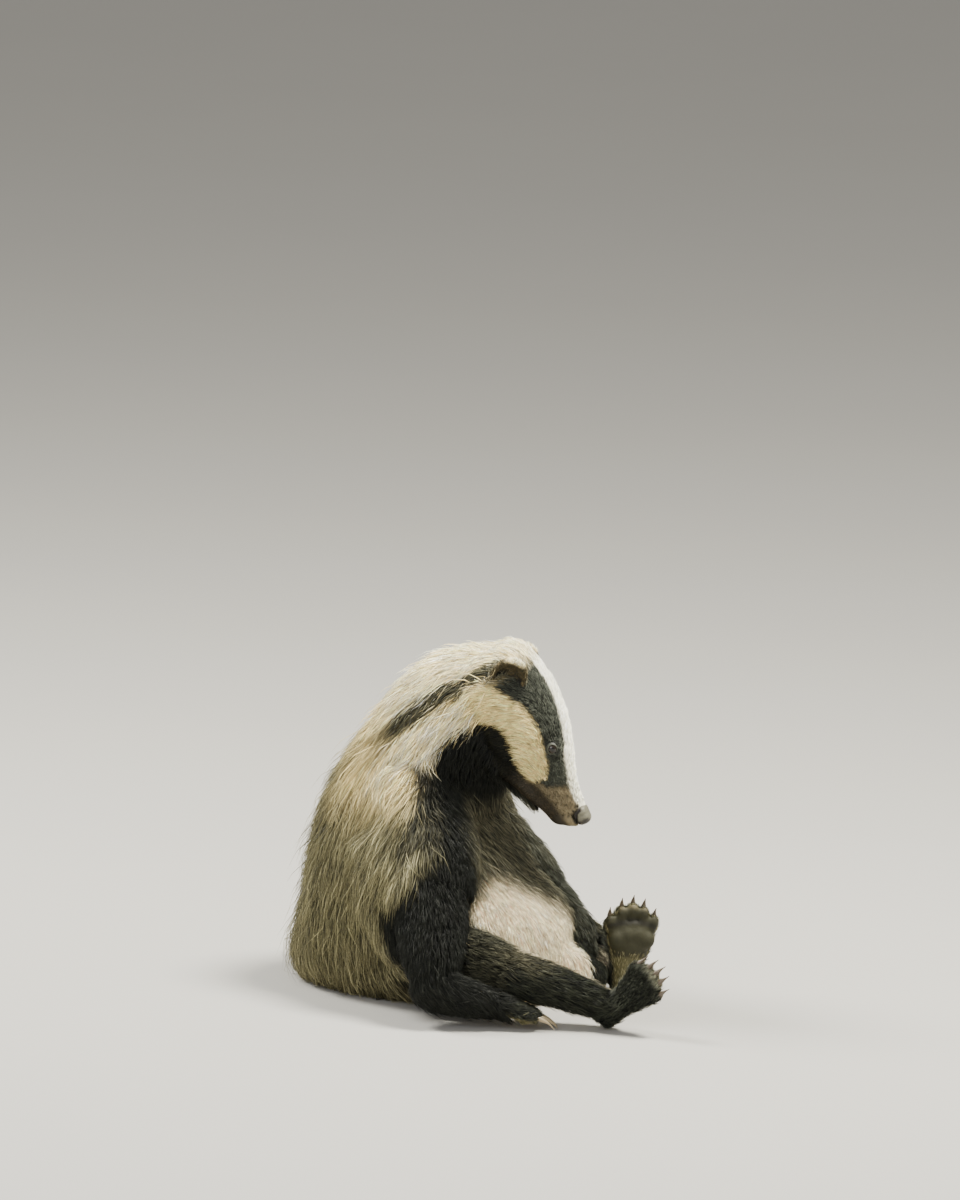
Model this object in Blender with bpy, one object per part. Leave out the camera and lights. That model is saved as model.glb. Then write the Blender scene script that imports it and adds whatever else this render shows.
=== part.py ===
"""A European badger, life size, sitting on its rump with its hind legs out in front and its head bowed.

Every place on the body is written as (forward, left, up) in millimetres, measured from the floor under the
hips. The badger faces -Y, so its left is +X.
"""

import math
import random

import bmesh
import bpy
import numpy as np
from mathutils import Matrix, Vector

MM = 0.001
GAP = 0.4
SIDES = {"left": 1, "right": -1}

# The long coat: how deep its core lies under the sections below, how far its tips stand off the core, and
# the size of one lock.
COAT_DEPTH = 8.0
TIP_HEIGHT = 13.0
LOCK_LENGTH = 76.0
LOCK_WIDTH = 33.0
LOCK_THICKNESS = 3.4
LOCK_ROOT_DEPTH = 3.5
ROW_STEP = 38.5
LOCK_STEP = 34.0
TAIL_COAT_DEPTH = 5.0
# The first row of the torso's locks and the last of the neck's, below and above the cut between them.
TORSO_FIRST_ROW = 5.0
NECK_LAST_ROW = 25.0

HEAD_PITCH = math.radians(62.5)
HEAD_TURN = math.radians(25)
NOSE_TIP = (174, 33, 151)
EYE_PLACE = (-63.5, 24.5, 0.6)
EYE_RADIUS = 5.6
EAR_PLACE = {"left": (-124, 42, -6), "right": (-131, -44, -3)}
EAR_RADII = (22, 9, 15)
NOSE_PLACE = (-5.5, 0, -5.5)
NOSE_RADII = (8.5, 11, 8.5)

# One section of the trunk, from the rump to behind the ears: its centre, half its width, its reach to the
# back of that centre and its reach to the front.
TRUNK = (
    ((60, 0, -6), 64, 108, 90),
    ((60, 0, 14), 82, 122, 108),
    ((58, 0, 42), 94, 119, 112),
    ((50, 0, 78), 95, 104, 87),
    ((43, 0, 106), 90, 91, 73),
    ((39, 0, 135), 83, 77, 63),
    ((43, 0, 162), 75, 66, 58),
    ((53, 1, 188), 67, 61, 54),
    ((67, 4, 210), 61, 61, 52),
    ((85, 7, 228), 55, 60, 50),
    ((104, 10, 239), 49, 53, 44),
    ((117, 12, 243), 40, 39, 34),
)
# Where the neck leaves the torso, in sections of the trunk.
NECK_START = 6.3
TAIL = (
    ((-30, 6, 24), 12, 14, 14),
    ((-52, 12, 17), 15, 14, 13),
    ((-67, 24, 13), 16, 13, 13.5),
    ((-79, 40, 12), 15, 12, 12.0),
    ((-88, 57, 10), 11, 10, 10.0),
    ((-95, 71, 9), 8, 8, 8.0),
)
# A head section, back from the nose tip: how far back, its top, its bottom and half its width.
SKULL = (
    (2, -2, -21, 7.5),
    (7, 1, -27, 12),
    (14, 3, -31.5, 15),
    (27, 5, -35.5, 18),
    (42, 9.5, -37, 21.5),
    (56, 14, -43, 26),
    (70, 18, -49, 34),
    (85, 20.5, -54, 42),
    (100, 21.5, -57, 47),
    (115, 21, -57, 48),
    (130, 19, -54, 45),
    (143, 13, -46, 37),
    (152, 3, -34, 22),
)
JAW = (
    (9, -22, -28.5, 8),
    (17, -22, -33.5, 11.5),
    (32, -26, -40, 14.5),
    (48, -30, -44, 19),
    (64, -36, -53, 25),
    (80, -40, -59, 31),
    (96, -40, -61, 33),
    (108, -42, -58, 26),
)
# One section of a limb: its centre, half its width, and its reach to the top and to the bottom.
UPPER_ARM = {
    "left": (
        ((76, 36, 128), 26, 26, 26),
        ((95, 44, 106), 28, 28, 28),
        ((111, 54, 86), 26, 26, 26),
        ((123, 62, 69), 20, 20, 20),
        ((127, 65, 57), 10, 10, 10),
    ),
    "right": (
        ((84, -54, 126), 26, 26, 28),
        ((100, -84, 98), 31, 28, 32),
        ((118, -108, 68), 28, 26, 29),
        ((130, -127, 42), 22, 20, 21),
        ((134, -132, 30), 11, 10, 12),
    ),
}
FOREARM = {
    "left": (
        ((117, 63, 77), 10, 10, 10),
        ((125, 62, 69), 19, 19, 19),
        ((142, 57, 60), 17, 17, 17),
        ((158, 54, 49), 14, 14, 14),
        ((163, 52, 44), 9, 9, 9),
    ),
    "right": (
        ((122, -134, 38), 9, 9, 9),
        ((130, -131, 32), 18, 17, 18),
        ((148, -123, 27), 17, 15, 16),
        ((168, -113, 22), 13, 12, 13),
        ((177, -108, 19), 10, 9, 10),
    ),
}
THIGH = {
    "left": (
        ((40, 48, 42), 34, 38, 34),
        ((75, 66, 42), 32, 34, 34),
        ((106, 80, 42), 26, 25, 29),
        ((130, 90, 39), 20, 19, 21),
        ((141, 94, 37), 11, 11, 12),
    ),
    "right": (
        ((46, -44, 44), 30, 34, 32),
        ((85, -62, 42), 33, 31, 36),
        ((128, -74, 46), 27, 25, 32),
        ((168, -80, 45), 20, 20, 22),
        ((182, -81, 42), 12, 12, 13),
    ),
}
SHANK = {
    "left": (
        ((126, 94, 40), 13, 12, 12),
        ((138, 91, 37), 19, 18, 18),
        ((162, 80, 29), 16, 16, 16),
        ((184, 69, 20), 14, 14, 14),
        ((191, 65, 16), 10, 10, 11),
    ),
    "right": (
        ((166, -83, 45), 13, 13, 12),
        ((180, -79, 40), 20, 19, 19),
        ((212, -67, 31), 17, 17, 17),
        ((242, -54, 21), 14, 14, 14),
        ((251, -50, 17), 10, 10, 11),
    ),
}
# Where a foot starts, the way its toes point, the way its back faces, and its size.
FOREPAW_PLACE = {
    "left": ((162, 50, 44), (17, -10, -24), (22, 10, 12), 0.84),
    "right": ((184, -99, 15.5), (36, 30, -9), (0, 0, 1), 0.85),
}
HINDFOOT_PLACE = {
    "left": ((200, 58, 4), (6, -3, 76), (-66, 74, 0), 1.04),
    "right": ((245, -50, 9.5), (48, -5, 44), (2, -20, 3), 0.87),
}
# A foot's sections along it: place along, across and up, half its width and half its height.
PALM = (
    (-14, 0, 3, 10, 9),
    (-4, 0, 1.5, 14, 9.5),
    (8, 0, 0, 17.5, 9),
    (18, 0, -2, 17, 7.5),
    (22, 0, -3, 13, 5),
)
SOLE = (
    (-4, 0, 2, 9.5, 10),
    (6, 0, 2, 11.5, 13),
    (22, 0, 1, 12.5, 12),
    (38, 0, 0, 17, 10.5),
    (52, 0, -1, 19.5, 9),
    (60, 0, -2, 17, 6.5),
)
# A claw's bend: how far along it, how far up, and how thick.
FORE_CLAW = ((0, 0.5, 2.4), (9, 0.6, 2.1), (16, -2.3, 1.4), (20.5, -6.2, 0.35))
HIND_CLAW = ((0, 1.5, 2.2), (5, 1.5, 1.9), (9, -0.5, 1.3), (11.5, -3, 0.4))

COLOURS = {
    "coat": ((0.46, 0.42, 0.34), 0.85),
    "dark_fur": ((0.06, 0.055, 0.05), 0.8),
    "face": ((0.78, 0.74, 0.64), 0.8),
    "nose": ((0.34, 0.26, 0.24), 0.45),
    "eye": ((0.02, 0.017, 0.015), 0.08),
}
LOOK = {
    "torso": "coat",
    "neck": "coat",
    "tail": "coat",
    "head": "face",
    "nose": "nose",
    "eye_left": "eye",
    "eye_right": "eye",
}


def clear_scene():
    for found in list(bpy.data.objects):
        bpy.data.objects.remove(found)


def axis(forward, left, up):
    return Vector((left, -forward, up)).normalized()


def world(forward, left, up):
    return Vector((left, -forward, up)) * MM


def flat_row(station):
    return np.hstack([np.ravel(value) for value in station]).astype(float)


def path_at(stations, t):
    """The section at t along the stations, where t counts them, on a Catmull-Rom curve through them all."""
    last = len(stations) - 1
    if t < 0:
        return path_at(stations, 0) + t * (flat_row(stations[1]) - flat_row(stations[0]))
    if t > last:
        return path_at(stations, last) + (t - last) * (flat_row(stations[-1]) - flat_row(stations[-2]))
    start = min(int(t), last - 1)
    here, after = flat_row(stations[start]), flat_row(stations[start + 1])
    before = flat_row(stations[start - 1]) if start > 0 else 2 * here - after
    beyond = flat_row(stations[start + 2]) if start + 2 <= last else 2 * after - here
    u = t - start
    return 0.5 * (
        2 * here
        + (after - before) * u
        + (2 * before - 5 * here + 4 * after - beyond) * u * u
        + (3 * here - before - 3 * after + beyond) * u**3
    )


def oval(angle, squareness):
    c, s = math.cos(angle), math.sin(angle)
    power = 2 / squareness
    return math.copysign(abs(c) ** power, c), math.copysign(abs(s) ** power, s)


def hair_share(angle):
    """How much of the long coat grows at an angle round the trunk: all of it behind, none on the belly."""
    share = min(max((math.sin(angle) + 0.55) / 0.4, 0.0), 1.0)
    return share * share * (3 - 2 * share)


def trunk_point(stations, t, angle, grow=0.0, coat=0.0):
    """A point on a trunk or limb form. coat takes the long hair's depth off where it grows."""
    section = path_at(stations, t)
    ahead = path_at(stations, t + 0.05)[:3] - path_at(stations, t - 0.05)[:3]
    along = axis(*ahead)
    across = axis(0, 1, 0)
    across = (across - along * across.dot(along)).normalized()
    upward = along.cross(across)
    x, y = oval(angle, 2.2)
    change = grow - coat * hair_share(angle)
    half_width = section[3] + change
    reach = (section[4] if y > 0 else section[5]) + change
    return world(*section[:3]) + (across * x * half_width + upward * y * reach) * MM


def skinned(rings, name):
    """A closed mesh through rings that all have the same number of points."""
    mesh = bmesh.new()
    made = [[mesh.verts.new(point) for point in ring] for ring in rings]
    sides = len(made[0])
    for low, high in zip(made, made[1:]):
        for step in range(sides):
            after = (step + 1) % sides
            mesh.faces.new((low[step], low[after], high[after], high[step]))
    mesh.faces.new(made[0][::-1])
    mesh.faces.new(made[-1])
    bmesh.ops.recalc_face_normals(mesh, faces=mesh.faces)
    bmesh.ops.triangulate(mesh, faces=mesh.faces)
    data = bpy.data.meshes.new(name)
    mesh.to_mesh(data)
    mesh.free()
    return data


def limb_mesh(name, stations, sides=12, grow=0.0, coat=0.0, low=0.0, high=None):
    """A trunk or limb form from t low to t high; grow makes it fatter and longer all round."""
    high = len(stations) - 1 if high is None else high
    count = max(2, round((high - low) * 2))
    rings = []
    for index in range(count + 1):
        t = low + (high - low) * index / count
        end = -1 if index == 0 else (1 if index == count else 0)
        along = axis(*(path_at(stations, t + 0.05)[:3] - path_at(stations, t - 0.05)[:3]))
        shift = along * (end * grow * MM)
        angles = [2 * math.pi * (step + 0.5) / sides for step in range(sides)]
        rings.append([trunk_point(stations, t, angle, grow, coat) + shift for angle in angles])
    return skinned(rings, name)


def head_matrix():
    """From head axes (forward to the nose, left, up off the brow, from the nose tip) to the world."""
    level = math.cos(HEAD_PITCH)
    forward = axis(level * math.cos(HEAD_TURN), level * math.sin(HEAD_TURN), -math.sin(HEAD_PITCH))
    left = axis(-math.sin(HEAD_TURN), math.cos(HEAD_TURN), 0)
    turn = Matrix((forward, left, forward.cross(left))).transposed().to_4x4()
    return Matrix.Translation(world(*NOSE_TIP)) @ turn


def foot_matrix(start, toward, back, size):
    """From foot axes (x to the toes, y to its left, z out of its back) to the world."""
    forward = axis(*toward)
    up = axis(*back)
    up = (up - forward * up.dot(forward)).normalized()
    turn = Matrix((forward, up.cross(forward), up)).transposed().to_4x4()
    return Matrix.Translation(world(*start)) @ turn @ Matrix.Scale(size, 4)


def head_form(name, stations, sides, grow=0.0):
    steps = 2
    last = (len(stations) - 1) * steps
    rings = []
    for index in range(last + 1):
        back, top, bottom, half_width = path_at(stations, index / steps)
        end = 1 if index == 0 else (-1 if index == last else 0)
        centre = Vector((end * grow - back, 0, (top + bottom) / 2))
        ring = []
        for step in range(sides):
            x, y = oval(2 * math.pi * (step + 0.5) / sides, 2.3)
            offset = Vector((0, x * (half_width + grow), y * ((top - bottom) / 2 + grow)))
            ring.append((centre + offset) * MM)
        rings.append(ring)
    data = skinned(rings, name)
    data.transform(head_matrix())
    return data


def foot_form(name, rows, sides, matrix):
    """A form along a foot's x: rows of place along, across and up, half width and half height."""
    rings = []
    for index, (x, y, z, half_width, half_height) in enumerate(rows):
        before = Vector(rows[max(index - 1, 0)][:3])
        after = Vector(rows[min(index + 1, len(rows) - 1)][:3])
        along = (after - before).normalized()
        across = Vector((0, 0, 1)).cross(along).normalized()
        upward = along.cross(across)
        ring = []
        for step in range(sides):
            a, b = oval(2 * math.pi * (step + 0.5) / sides, 2.0)
            ring.append((Vector((x, y, z)) + across * a * half_width + upward * b * half_height) * MM)
        rings.append(ring)
    data = skinned(rings, name)
    data.transform(matrix)
    return data


def ball(name, centre, radii, matrix, segments=12, rings=8, turn=None):
    mesh = bmesh.new()
    bmesh.ops.create_uvsphere(mesh, u_segments=segments, v_segments=rings, radius=1.0)
    data = bpy.data.meshes.new(name)
    mesh.to_mesh(data)
    mesh.free()
    shape = Matrix.Diagonal((*(value * MM for value in radii), 1.0))
    if turn is not None:
        shape = turn @ shape
    data.transform(matrix @ Matrix.Translation(Vector(centre) * MM) @ shape)
    return data


def part_object(data, collection, name):
    made = bpy.data.objects.new(name, data)
    collection.objects.link(made)
    return made


def keep_largest(data):
    """Welds what a Boolean left split and keeps only the largest closed surface."""
    mesh = bmesh.new()
    mesh.from_mesh(data)
    bmesh.ops.remove_doubles(mesh, verts=mesh.verts, dist=0.00002)
    bmesh.ops.dissolve_degenerate(mesh, edges=mesh.edges, dist=0.00001)
    bmesh.ops.triangulate(mesh, faces=mesh.faces)
    left = set(mesh.verts)
    largest = set()
    while left:
        group = {left.pop()}
        front = list(group)
        while front:
            for edge in front.pop().link_edges:
                for vertex in edge.verts:
                    if vertex in left:
                        left.discard(vertex)
                        group.add(vertex)
                        front.append(vertex)
        if len(group) > len(largest):
            largest = group
    loose = [vertex for vertex in mesh.verts if vertex not in largest]
    bmesh.ops.delete(mesh, geom=loose, context="VERTS")
    mesh.to_mesh(data)
    mesh.free()


def boolean(target, operation, meshes, solver="EXACT", tidy=True):
    """One Boolean with a collection of meshes, applied; the collection is removed afterwards."""
    tools = bpy.data.collections.new("tools")
    bpy.context.scene.collection.children.link(tools)
    for index, data in enumerate(meshes):
        part_object(data, tools, f"tool_{index}")
    modifier = target.modifiers.new("Boolean", "BOOLEAN")
    modifier.operation = operation
    modifier.operand_type = "COLLECTION"
    modifier.collection = tools
    modifier.solver = solver
    depsgraph = bpy.context.evaluated_depsgraph_get()
    made = bpy.data.meshes.new_from_object(target.evaluated_get(depsgraph))
    target.modifiers.remove(modifier)
    target.data = made
    for tool in list(tools.objects):
        bpy.data.objects.remove(tool)
    bpy.data.collections.remove(tools)
    if tidy:
        keep_largest(made)


def floor_block():
    """A block whose top is the floor."""
    bpy.ops.mesh.primitive_cube_add(size=1.0)
    block = bpy.context.object
    data = block.data.copy()
    bpy.data.objects.remove(block)
    data.transform(Matrix.Translation((0, 0, -0.1)) @ Matrix.Diagonal((1.2, 1.2, 0.2, 1.0)))
    return data


def trunk_core(t, angle):
    return trunk_point(TRUNK, t, angle, 0.0, COAT_DEPTH)


def tail_core(t, angle):
    return trunk_point(TAIL, t, angle, -TAIL_COAT_DEPTH)


def lock_line(core, flow, t, angle, drift, length, depth):
    """A lock's centre line over a core, from its sunk root along the lie, with the outward directions.

    flow is 1 where the hair lies toward higher t and -1 where it lies toward lower t.
    """
    line = []
    steps = 12
    stride = length / steps
    for step in range(steps + 1):
        here = core(t, angle)
        ahead = core(t + 0.02 * flow, angle) - here
        side = core(t, angle + 0.02) - here
        outward = side.cross(ahead).normalized() * flow
        u = step / steps
        rise = -LOCK_ROOT_DEPTH + (depth + LOCK_ROOT_DEPTH) * (1 - (1 - u) ** 1.7)
        line.append((here + outward * (rise * MM), outward))
        t += 0.02 * flow * stride * MM / ahead.length
        angle += 0.02 * drift * stride * MM / side.length
    return line


def lock_mesh(line, width, grow=0.0):
    """A flat lock on a centre line: full near its root, thin and pointed at its tip.

    It bends up where it would reach the floor, each lock to its own small height.
    """
    shape = ((0, 0.72, 1.0), (4, 1.0, 1.0), (8, 0.72, 0.7), (12, 0.06, 0.2))
    lowest = (1.3 + 0.5 * math.sin(line[0][0].x / MM) - grow) * MM
    rings = []
    for index, breadth, depth in shape:
        centre, outward = line[index]
        ahead = line[min(index + 1, len(line) - 1)][0] - line[max(index - 1, 0)][0]
        across = ahead.cross(outward).normalized() * ((width / 2 * breadth + grow) * MM)
        out = outward * ((LOCK_THICKNESS / 2 * depth + grow) * MM)
        ring = [centre + across, centre + out, centre - across, centre - out]
        lift = max(0.0, lowest - min(point.z for point in ring))
        rings.append([point + Vector((0, 0, lift)) for point in ring])
    return skinned(rings, "lock")


def arc_step(core, t, angle):
    """The angle that one lock takes up round a core."""
    return 0.02 * LOCK_STEP * MM / (core(t, angle + 0.02) - core(t, angle)).length


def row_places(start, end, first):
    """The t of each row of locks from start towards end, the first one that many millimetres away."""
    way = 1 if end > start else -1
    places = []
    t = start
    travelled = 0.0
    wanted = first
    while (end - t) * way > 0:
        step = 0.02 * way
        travelled += (trunk_core(t + step, math.pi / 2) - trunk_core(t, math.pi / 2)).length / MM
        t += step
        if travelled >= wanted:
            places.append(t)
            wanted += ROW_STEP
    return places


def coat_lines(places, arc, seed):
    """Locks in rows round the trunk, over an arc each way from the middle of the back."""
    draw = random.Random(seed)
    back = math.pi / 2
    lines = []
    for row, t in enumerate(places):
        angle = back - arc + (row % 2) * 0.5 * arc_step(trunk_core, t, back - arc)
        while angle < back + arc:
            drift = 0.28 * math.sin(2 * (angle - back)) + draw.uniform(-0.06, 0.06)
            length = LOCK_LENGTH * draw.uniform(0.9, 1.08)
            line = lock_line(trunk_core, -1, t, angle, drift, length, TIP_HEIGHT)
            lines.append((line, LOCK_WIDTH * draw.uniform(0.9, 1.05)))
            angle += arc_step(trunk_core, t, angle)
    return lines


def tail_lines():
    """The tail's locks, from its root to its tip."""
    lines = []
    for t, first, count in ((1.5, 0.24, 3), (3.2, 0.37, 2)):
        for place in range(count):
            angle = math.pi * (first + 0.26 * place)
            lines.append((lock_line(tail_core, 1, t, angle, 0.0, 40.0, TAIL_COAT_DEPTH), 18.0))
    return lines


def joined_locks(name, lines, collection):
    """All of a form's locks as one mesh object, for a union with its core."""
    made = part_object(lock_mesh(*lines[0]), collection, name)
    boolean(made, "UNION", [lock_mesh(*line) for line in lines[1:]], "MANIFOLD", tidy=False)
    return made


def torso_form(grow=0.0):
    return limb_mesh("torso", TRUNK, 24, grow, COAT_DEPTH, 0.0, NECK_START)


def neck_form():
    """The neck's core, lifted off the torso's by the gap between them."""
    data = limb_mesh("neck", TRUNK, 20, 0.0, COAT_DEPTH, NECK_START)
    along = axis(*(path_at(TRUNK, NECK_START + 0.05)[:3] - path_at(TRUNK, NECK_START - 0.05)[:3]))
    data.transform(Matrix.Translation(along * (GAP * MM)))
    return data


def tail_form(grow=0.0):
    return limb_mesh("tail", TAIL, 12, grow - TAIL_COAT_DEPTH)


def skull(grow=0.0):
    return head_form("skull", SKULL, 18, grow)


def jaw(grow=0.0):
    return head_form("jaw", JAW, 10, grow)


def ear_pieces(name, grow=0.0):
    """The leaf of an ear and the hollow in its front."""
    side = SIDES[name]
    lean = Matrix.Rotation(math.radians(-18 * side), 4, "X")
    turn = Matrix.Rotation(math.radians(-38 * side), 4, "Z")
    pitch = Matrix.Rotation(math.radians(42), 4, "Y")
    place = turn @ pitch @ lean
    centre = Vector(EAR_PLACE[name])
    leaf = ball("ear", centre, [r + grow for r in EAR_RADII], head_matrix(), 14, 7, place)
    front = centre + place @ Vector((-1.5, 7.0 * side, -1.0))
    hollow = ball("ear_hollow", front, (16.5, 8.0, 10.5), head_matrix(), 12, 6, place)
    return leaf, hollow


def build_head(collection):
    """The skull and the shorter jaw under it, with raised lids, eye sockets and a seat for the nose."""
    frame = head_matrix()
    head = part_object(skull(), collection, "head")
    x, y, z = EYE_PLACE
    raised = [jaw()]
    cut = [ball("nose_seat", NOSE_PLACE, [r + GAP for r in NOSE_RADII], frame, 12, 8)]
    for side in SIDES.values():
        eye = (x, y * side, z)
        raised.append(ball("lids", eye, (8.2, 7.4, 7.4), frame, 14, 8))
        cut.append(ball("socket", eye, [EYE_RADIUS + GAP] * 3, frame, 12, 8))
        cut.append(ball("lid_opening", (x, (y + 7) * side, z), (5.4, 6.0, 3.9), frame, 12, 6))
    boolean(head, "UNION", raised)
    boolean(head, "DIFFERENCE", cut)

    nose = part_object(ball("nose", NOSE_PLACE, NOSE_RADII, frame, 12, 8), collection, "nose")
    nostrils = [
        ball("nostril", (1.0, 5.8 * side, -7.5), (4.5, 2.6, 3.0), frame, 8, 5) for side in SIDES.values()
    ]
    boolean(nose, "DIFFERENCE", nostrils)
    for name, side in SIDES.items():
        eye = ball("eye", (x, y * side, z), [EYE_RADIUS] * 3, frame, 12, 8)
        part_object(eye, collection, f"eye_{name}")
        leaf, hollow = ear_pieces(name)
        ear = part_object(leaf, collection, f"ear_{name}")
        boolean(ear, "DIFFERENCE", [hollow, skull(GAP)])


def build_forepaw(name, matrix, collection):
    """A forepaw: its palm, five toes side by side and five long claws."""
    paw = part_object(foot_form(name, PALM, 12, matrix), collection, name)
    pieces = []
    for place in range(-2, 3):
        reach = 14 - 1.6 * place * place
        y = 6.8 * place
        toe = (
            (6, y * 0.9, 0, 4.2, 4.5),
            (16, y, 0.5, 4.6, 5.0),
            (16 + reach * 0.7, y * 1.06, 0, 4.3, 4.6),
            (16 + reach, y * 1.1, -1.5, 2.6, 3.0),
        )
        claw = [
            (14 + reach + along, y * 1.1 + 0.09 * place * along, up, 0.8 * thick, thick)
            for along, up, thick in FORE_CLAW
        ]
        pieces += [foot_form("toe", toe, 6, matrix), foot_form("claw", claw, 5, matrix)]
    boolean(paw, "UNION", pieces)
    return paw


def build_hindfoot(name, matrix, collection):
    """A hind foot: its sole with the heel and foot pads, five toes with their pads, and short claws."""
    foot = part_object(foot_form(name, SOLE, 12, matrix), collection, name)
    pieces = [
        ball("foot_pad", (44, 0, -6), (12, 17.5, 7), matrix, 10, 5),
        ball("heel_pad", (8, 0, -7), (11, 10, 6), matrix, 8, 5),
    ]
    for place in range(-2, 3):
        y = 8.0 * place
        root = 52 - 1.2 * place * place
        reach = 19 - 1.3 * place * place
        toe = (
            (root, y * 0.85, 0, 4.6, 5),
            (root + reach * 0.5, y, 0.5, 5.0, 5.4),
            (root + reach * 0.85, y * 1.04, 0, 4.8, 5.2),
            (root + reach, y * 1.06, -1, 2.8, 3.0),
        )
        claw = [
            (root + reach - 2 + along, y * 1.07, up, 0.8 * thick, thick)
            for along, up, thick in HIND_CLAW
        ]
        pad = ball("toe_pad", (root + reach * 0.72, y * 1.03, -4.0), (6, 4.0, 3.6), matrix, 6, 4)
        pieces += [foot_form("toe", toe, 6, matrix), foot_form("claw", claw, 5, matrix), pad]
    boolean(foot, "UNION", pieces)
    return foot


def build_limbs(side, collection):
    """One side's arm and leg. Each piece is cut clear of the ones that it grows from or rests on."""
    thigh, shank = THIGH[side], SHANK[side]
    upper_arm, forearm = UPPER_ARM[side], FOREARM[side]
    leg_cuts = [thigh, shank]

    made = part_object(limb_mesh("thigh", thigh), collection, f"thigh_{side}")
    boolean(made, "DIFFERENCE", [floor_block()])
    made = part_object(limb_mesh("shank", shank), collection, f"shank_{side}")
    boolean(made, "DIFFERENCE", [limb_mesh("cut", thigh, grow=GAP), floor_block()])
    made = build_hindfoot(f"hindfoot_{side}", foot_matrix(*HINDFOOT_PLACE[side]), collection)
    boolean(made, "DIFFERENCE", [limb_mesh("cut", shank, grow=GAP), floor_block()])

    made = part_object(limb_mesh("upper_arm", upper_arm), collection, f"upper_arm_{side}")
    boolean(made, "DIFFERENCE", [limb_mesh("cut", thigh, grow=GAP)])
    made = part_object(limb_mesh("forearm", forearm), collection, f"forearm_{side}")
    cuts = [limb_mesh("cut", form, grow=GAP) for form in (upper_arm, *leg_cuts)]
    boolean(made, "DIFFERENCE", [*cuts, torso_form(GAP), floor_block()])
    made = build_forepaw(f"forepaw_{side}", foot_matrix(*FOREPAW_PLACE[side]), collection)
    cuts = [limb_mesh("cut", form, grow=GAP) for form in (forearm, *leg_cuts)]
    boolean(made, "DIFFERENCE", [*cuts, torso_form(GAP), floor_block()])


def build_trunk(collection):
    """Torso, neck and tail: each a core with its locks, cut clear of its neighbours."""
    last = len(TRUNK) - 1
    torso_lines = coat_lines(row_places(NECK_START, 0.8, TORSO_FIRST_ROW), math.radians(112), 4)
    neck_lines = coat_lines(row_places(NECK_START, last - 1.0, NECK_LAST_ROW), math.radians(122), 7)
    end_lines = tail_lines()

    neck = joined_locks("neck", neck_lines, collection)
    boolean(neck, "UNION", [neck_form()], "MANIFOLD", tidy=False)
    ears = [ear_pieces(side, GAP)[0] for side in SIDES]
    boolean(neck, "DIFFERENCE", [skull(GAP), jaw(GAP), *ears], "MANIFOLD")

    tail = joined_locks("tail", end_lines, collection)
    boolean(tail, "UNION", [tail_form()], "MANIFOLD", tidy=False)
    boolean(tail, "DIFFERENCE", [torso_form(GAP), floor_block()], "MANIFOLD")

    torso = joined_locks("torso", torso_lines, collection)
    over = [lock_mesh(*line, GAP) for line in neck_lines + end_lines]
    boolean(torso, "DIFFERENCE", [tail_form(GAP), *over], "MANIFOLD", tidy=False)
    boolean(torso, "UNION", [torso_form()], "MANIFOLD", tidy=False)
    roots = [limb_mesh("root", form[side], grow=GAP) for form in (THIGH, UPPER_ARM) for side in SIDES]
    boolean(torso, "DIFFERENCE", [*roots, floor_block()], "MANIFOLD")


def finish(collection):
    for made in collection.objects:
        slot = LOOK.get(made.name, "dark_fur")
        colour, roughness = COLOURS[slot]
        look = bpy.data.materials.get(slot) or bpy.data.materials.new(slot)
        look.use_nodes = True
        shader = look.node_tree.nodes["Principled BSDF"]
        shader.inputs["Base Color"].default_value = (*colour, 1.0)
        shader.inputs["Roughness"].default_value = roughness
        shader.inputs["Metallic"].default_value = 0.0
        look.diffuse_color = (*colour, 1.0)
        made.data.materials.clear()
        made.data.materials.append(look)
        made.data.shade_smooth()
        made.data.set_sharp_from_angle(angle=math.radians(40))


def main():
    clear_scene()
    badger = bpy.data.collections.new("badger")
    bpy.context.scene.collection.children.link(badger)
    build_head(badger)
    for side in SIDES:
        build_limbs(side, badger)
    build_trunk(badger)
    finish(badger)


main()
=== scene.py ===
import math

import bmesh
import bpy
import numpy as np
from mathutils import Matrix, Vector
from mathutils.kdtree import KDTree


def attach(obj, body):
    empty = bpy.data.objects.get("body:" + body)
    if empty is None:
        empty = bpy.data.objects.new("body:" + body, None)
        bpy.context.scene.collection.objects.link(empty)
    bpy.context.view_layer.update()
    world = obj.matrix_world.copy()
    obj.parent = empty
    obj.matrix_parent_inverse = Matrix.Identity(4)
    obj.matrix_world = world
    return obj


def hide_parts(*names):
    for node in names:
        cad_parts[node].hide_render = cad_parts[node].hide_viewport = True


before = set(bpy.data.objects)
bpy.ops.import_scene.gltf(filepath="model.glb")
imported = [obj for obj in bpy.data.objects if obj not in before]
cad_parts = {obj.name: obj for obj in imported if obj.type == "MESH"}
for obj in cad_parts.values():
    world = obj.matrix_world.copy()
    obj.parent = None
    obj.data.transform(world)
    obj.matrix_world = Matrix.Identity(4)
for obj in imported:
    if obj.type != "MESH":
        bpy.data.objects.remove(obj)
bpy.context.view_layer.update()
print("frame loaded:", len(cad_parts), "nodes")

mm = 0.001  # places on the body are (forward, left, up) in millimetres, as in the solids
sides = {"left": 1, "right": -1}

camera = {
    "azimuth": -60.0,
    "elevation": 10.5,
    "roll": 2.0,
    "distance": 12.0,
    "metresPerPixel": 0.0008,
    "pixelOfOrigin": (372, 977),
    "picture": (960, 1200),
}


def toWorld(places):
    places = np.asarray(places, float)
    return np.stack([places[..., 1], -places[..., 0], places[..., 2]], axis=-1) * mm


def toWay(places):
    return unit(toWorld(places))


def unit(v):
    v = np.asarray(v, float)
    return v / np.maximum(np.linalg.norm(v, axis=-1, keepdims=True), 1e-12)


def dot(a, b):
    return (a * b).sum(axis=-1)


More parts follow.
